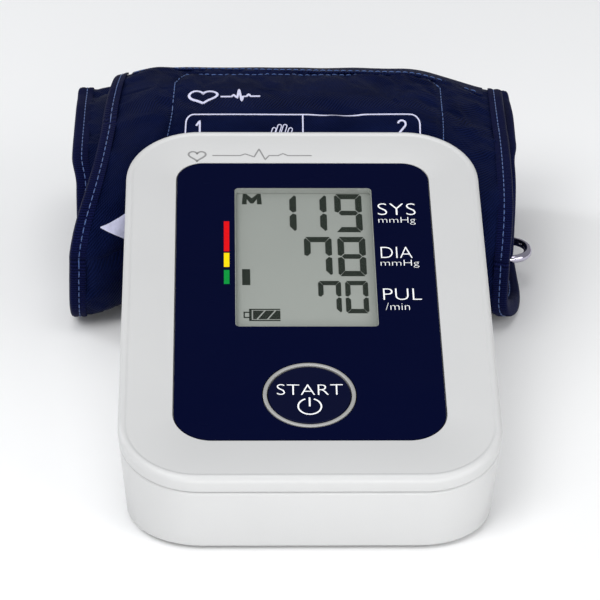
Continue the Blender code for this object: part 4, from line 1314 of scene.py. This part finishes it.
def make_hem():
    """The free end's folded hem, swept across the cuff."""
    low, high = OUTER_DEPTHS[0] - 0.0005, LINING_DEPTHS[1] + 0.0002
    middle, half = (low + high) / 2, (high - low) / 2
    reach = 0.0075
    outside = [(reach, low + 0.00015), (reach - 0.0006, low), (0.0010, low)]
    outside += [(-0.0004 - 0.0006 * math.sin(turn), middle - half * math.cos(turn))
                for turn in (math.pi * i / 8 for i in range(9))]
    outside += [(0.0010, high), (reach, high)]
    inside = [(reach, high - 0.0003), (0.0006, high - 0.0003), (0.0006, low + 0.0004), (reach, low + 0.0004)]
    section = outside + inside
    half_width = CUFF_HALF_WIDTH - 0.0068

    def section_at(x):
        sway = 0.00018 * ripple(x * 90.0, 3.0, 5.0)
        return [on_wrap(x, s, depth + sway) for s, depth in section], [(x, s) for s, depth in section]

    sweep("free_end_hem", -half_width, half_width, 90, section_at, TWILL)


def make_ring_loop():
    """Webbing sewn round the ring's bar: a teardrop section swept along the bar."""
    low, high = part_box("ring_loop")
    bar = (low + high) / 2
    end = on_wrap(0.0, WRAP_LENGTH - 0.0006, BINDING_DEPTH / 2)
    toward = Vector((0.0, bar.y - end.y, bar.z - end.z)).normalized()
    side = Vector((0.0, -toward.z, toward.y))
    outer, thick = 0.0026, 0.0008
    start = WRAP_LENGTH - 0.0016
    top = on_wrap(0.0, start, OUTER_DEPTHS[0] + 0.0001)
    foot = on_wrap(0.0, start, LINING_DEPTHS[1] - 0.0001)
    if (top - end).dot(side) < 0:
        side = -side

    def path(radius, shrink):
        line = [top.lerp(foot, shrink)]
        for i in range(15):
            turn = math.radians(100 - 200 * i / 14)
            line.append(bar + toward * radius * math.cos(turn) + side * radius * math.sin(turn))
        return line + [foot.lerp(top, shrink)]

    section = path(outer, 0.0) + list(reversed(path(outer - thick, 0.3)))

    def section_at(x):
        return ([Vector((x, point.y, point.z)) for point in section],
                [(x, 0.0012 * k) for k in range(len(section))])

    sweep("ring_webbing", low.x, high.x, 70, section_at, TAPE, ["ring_loop"])
    return bar


def make_ring(bar):
    """The bright oblong ring, one smooth wire."""
    half = RING_LENGTH / 2
    outline = rounded_outline(half, half, 0.0, RING_WIDTH, RING_CORNER, RING_CORNER, 14)
    wire = tube([bar + Vector((x, y, 0.0)) for x, y in outline], RING_WIRE, 16, True)
    show("chrome_ring", [wire], CHROME, "cuff_ring",
         ["cuff_ring"], 60.0)


# ---------------------------------------------------------------- stitching and print
STITCH_PITCH = 0.0023
STITCH_LENGTH = 0.0017
STITCH_RADIUS = 0.00017
HEM_SEAM_HALF = 0.0595      # half the length of the hem's stitching, and its distance from the end
HEM_SEAM = 0.0058


def stitch_radius(share):
    """A stitch's thread is thickest at its middle."""
    return STITCH_RADIUS * (0.55 + 0.45 * math.sin(math.pi * share))


def stitches(line, place):
    """Short raised threads, evenly spaced along a flat line; place puts a flat point on the surface."""
    places = np.array(line)
    run = np.concatenate([[0.0], np.cumsum(np.linalg.norm(np.diff(places, axis=0), axis=1))])
    shapes = []
    at = 0.0004
    while at + STITCH_LENGTH < run[-1]:
        points = []
        for i in range(6):
            share = i / 5
            here = at + STITCH_LENGTH * share
            x = float(np.interp(here, run, places[:, 0]))
            s = float(np.interp(here, run, places[:, 1]))
            points.append(place(x, s, 0.00014 * math.sin(math.pi * share) - 0.00002))
        shapes.append(tube(points, stitch_radius, 6))
        at += STITCH_PITCH
    return shapes


def make_stitching():
    for side, name in ((-1, "left"), (1, "right")):
        line = [(side * SEAM_X, WRAP_LENGTH * i / 400) for i in range(401)]

        def on_top(x, s, lift):
            return on_wrap(x, s, binding_ruffle(side, s) + 0.00018 - lift)

        def underneath(x, s, lift):
            return on_wrap(x, s, BINDING_DEPTH + binding_ruffle(side, s) - 0.00006 + lift)

        shapes = stitches(line, on_top) + stitches(line, underneath)
        show(f"binding_stitches_{name}", shapes, THREAD, "cuff", (), 60.0)
    show("patch_stitches", stitches(seam_line, on_cloth), THREAD, "cuff",
         (), 60.0)
    hem = [(-HEM_SEAM_HALF + 2 * HEM_SEAM_HALF * i / 120, HEM_SEAM) for i in range(121)]

    def on_hem(x, s, lift):
        return on_wrap(x, s, OUTER_DEPTHS[0] - 0.0005 - lift)

    show("hem_stitches", stitches(hem, on_hem), THREAD, "cuff", (), 60.0)


PRINT_LIFT = 0.00018        # the print's thickness, and how far it stands off the cloth
PRINT_GAP = 0.00003
PRINT_LINE = 0.00045
ARROW_FOOT = -0.0002        # its underside lies inside the cloth
ARROW_BOW = 0.0009          # the arrow's lower edge is cut hollow, and looks straight over the dent
ARROW_HALF = 0.0069         # half its height at its wide end
ARROW_DROP = 0.0042         # its middle falls by this much toward that end
ARROW_LENGTH = 0.0112
ARROW_TIP = (-0.0612, 0.0354)
FIGURE_ONE = [(-0.0321, 0.1752), (-0.0310, 0.1770), (-0.0310, 0.1702)]
FIGURE_TWO = [*arc(0.0321, 0.1758, 0.0012, 170, -40, 10, 1.10), (0.0308, 0.1722), (0.0336, 0.1722)]


def on_roof(across, back, lift):
    return on_cloth(*find_on_roof(across, back), lift + PRINT_GAP)


def on_front(across, height, lift):
    return on_cloth(*find_on_front(across, height), lift + PRINT_GAP)


def printed(line, width, closed=False):
    """A printed stroke on the cuff's roof."""
    return stroke(line, width, 0.0, PRINT_LIFT, on_roof, closed)


def make_cuff_print():
    """The instruction frame with its two numbers, the hand sign, the heart and the pulse line."""
    left, right, front, back = -0.0354, 0.0377, 0.1560, 0.1798
    corner = arc(left + 0.0028, back - 0.0040, 0.0028, 180, 90, 8, 1.4)
    corner += arc(right - 0.0028, back - 0.0040, 0.0028, 90, 0, 8, 1.4)
    near_corner = arc(right - 0.0026, front + 0.0040, 0.0028, 0, -90, 8, 1.4)
    near_corner += arc(left + 0.0022, front + 0.0040, 0.0028, 270, 180, 8, 1.4)
    frame_line = dense([*corner, *near_corner, corner[0]])[:-1]
    divider = dense([(0.0012, back - 0.0003), (0.0010, front + 0.0003)])
    shapes = [printed(frame_line, PRINT_LINE, True), printed(divider, PRINT_LINE),
              printed(dense(FIGURE_ONE, 0.0006), 0.0006), printed(dense(FIGURE_TWO, 0.0006), 0.0006)]
    for i in range(4):
        start = (-0.0108 + 0.0017 * i, 0.1665)
        tip = (start[0] + 0.0024, 0.1738 + 0.0012 * min(i, 3 - i))
        finger = [start, tip, *arc(tip[0] + 0.0006, tip[1], 0.0006, 180, 0, 5), (start[0] + 0.0012, 0.1665)]
        shapes.append(printed(dense(finger, 0.0010), 0.0003))
    shapes.append(printed(heart_line(-0.0300, 0.1908, 0.0045), 0.0008, True))
    shapes.append(printed(dense(pulse_line(-0.0245, 0.1905, 0.0125, 0.0050), 0.0008), 0.0007))
    show("cuff_print", shapes, PALE_INK, "cuff")


def make_arrow():
    """The white arrow that is laid over the artery, on the cuff's front."""
    rows = 14
    columns = 13
    left, level = ARROW_TIP
    points = []
    for height in (ARROW_FOOT, PRINT_LIFT):
        for i in range(rows):
            share = 0.02 + 0.98 * i / (rows - 1)
            for j in range(columns):
                slide = 2 * j / (columns - 1) - 1
                straighten = ARROW_BOW * (1 - slide) / 2 * 4 * share * (1 - share)
                up = level + (slide * ARROW_HALF - ARROW_DROP) * share + straighten
                points.append(on_front(left + ARROW_LENGTH * share, up, height))
    arrow = (points, sheet_faces(rows, columns, False))
    show("artery_arrow", [arrow], PALE_INK, "cuff")


# ---------------------------------------------------------------- CAD nodes that stay in view
def numbered(name, count=4):
    return [f"{name}_{i}" for i in range(1, count + 1)]


def dress_kept_nodes():
    keep_cad(WHITE, 0.0003, "lower_case", "battery_cover")
    keep_cad(BLACK, 0.0001, "power_jack", "lcd_holder", "button_switch", "buzzer", "controller_chip",
             "pressure_sensor", "pump_head", "air_manifold", "air_socket")
    keep_cad(GREEN, 0.0001, "main_board")
    keep_cad(STEEL, 0.0, "button_spring", "exhaust_valve", "pump_motor", *numbered("case_screw"),
             *numbered("contact_spring"))
    keep_cad(BRASS, 0.0, *numbered("contact_plate"))
    keep_cad(RUBBER, 0.0, "hose_inlet", *numbered("foot"))
    keep_cad(TUBE, 0.0, "pump_tube", "sensor_tube", "socket_tube", "valve_tube")
    keep_cad(CELL, 0.0, *numbered("battery"))


def make_cover_grip():
    """Raised ridges that the thumb pushes against, under the battery cover."""
    low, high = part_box("battery_cover")
    middle = (low + high) / 2
    shapes = []
    for i in range(7):
        y = low.y + 0.0060 + 0.0022 * i
        half = 0.0100 - 0.0011 * i
        ridge = box_outline(middle.x - half, y, middle.x + half, y + 0.0009)
        shapes.append(prism(ridge, low.z - 0.0003, low.z + 0.0002, lambda x, y, z: Vector((x, y, z))))
    show("cover_grip", shapes, WHITE, "battery_cover")


# ---------------------------------------------------------------- build
make_camera()
make_studio()
make_upper_shell()
make_panel()
make_window()
make_display()
make_panel_print()
make_face_mark()
make_button()
make_outer_cloth()
make_inner_layers()
make_binding("left_binding", -1, "edge_binding_left")
make_binding("right_binding", 1, "edge_binding_right")
make_hem()
make_ring(make_ring_loop())
make_stitching()
make_cuff_print()
make_arrow()
dress_kept_nodes()
make_cover_grip()
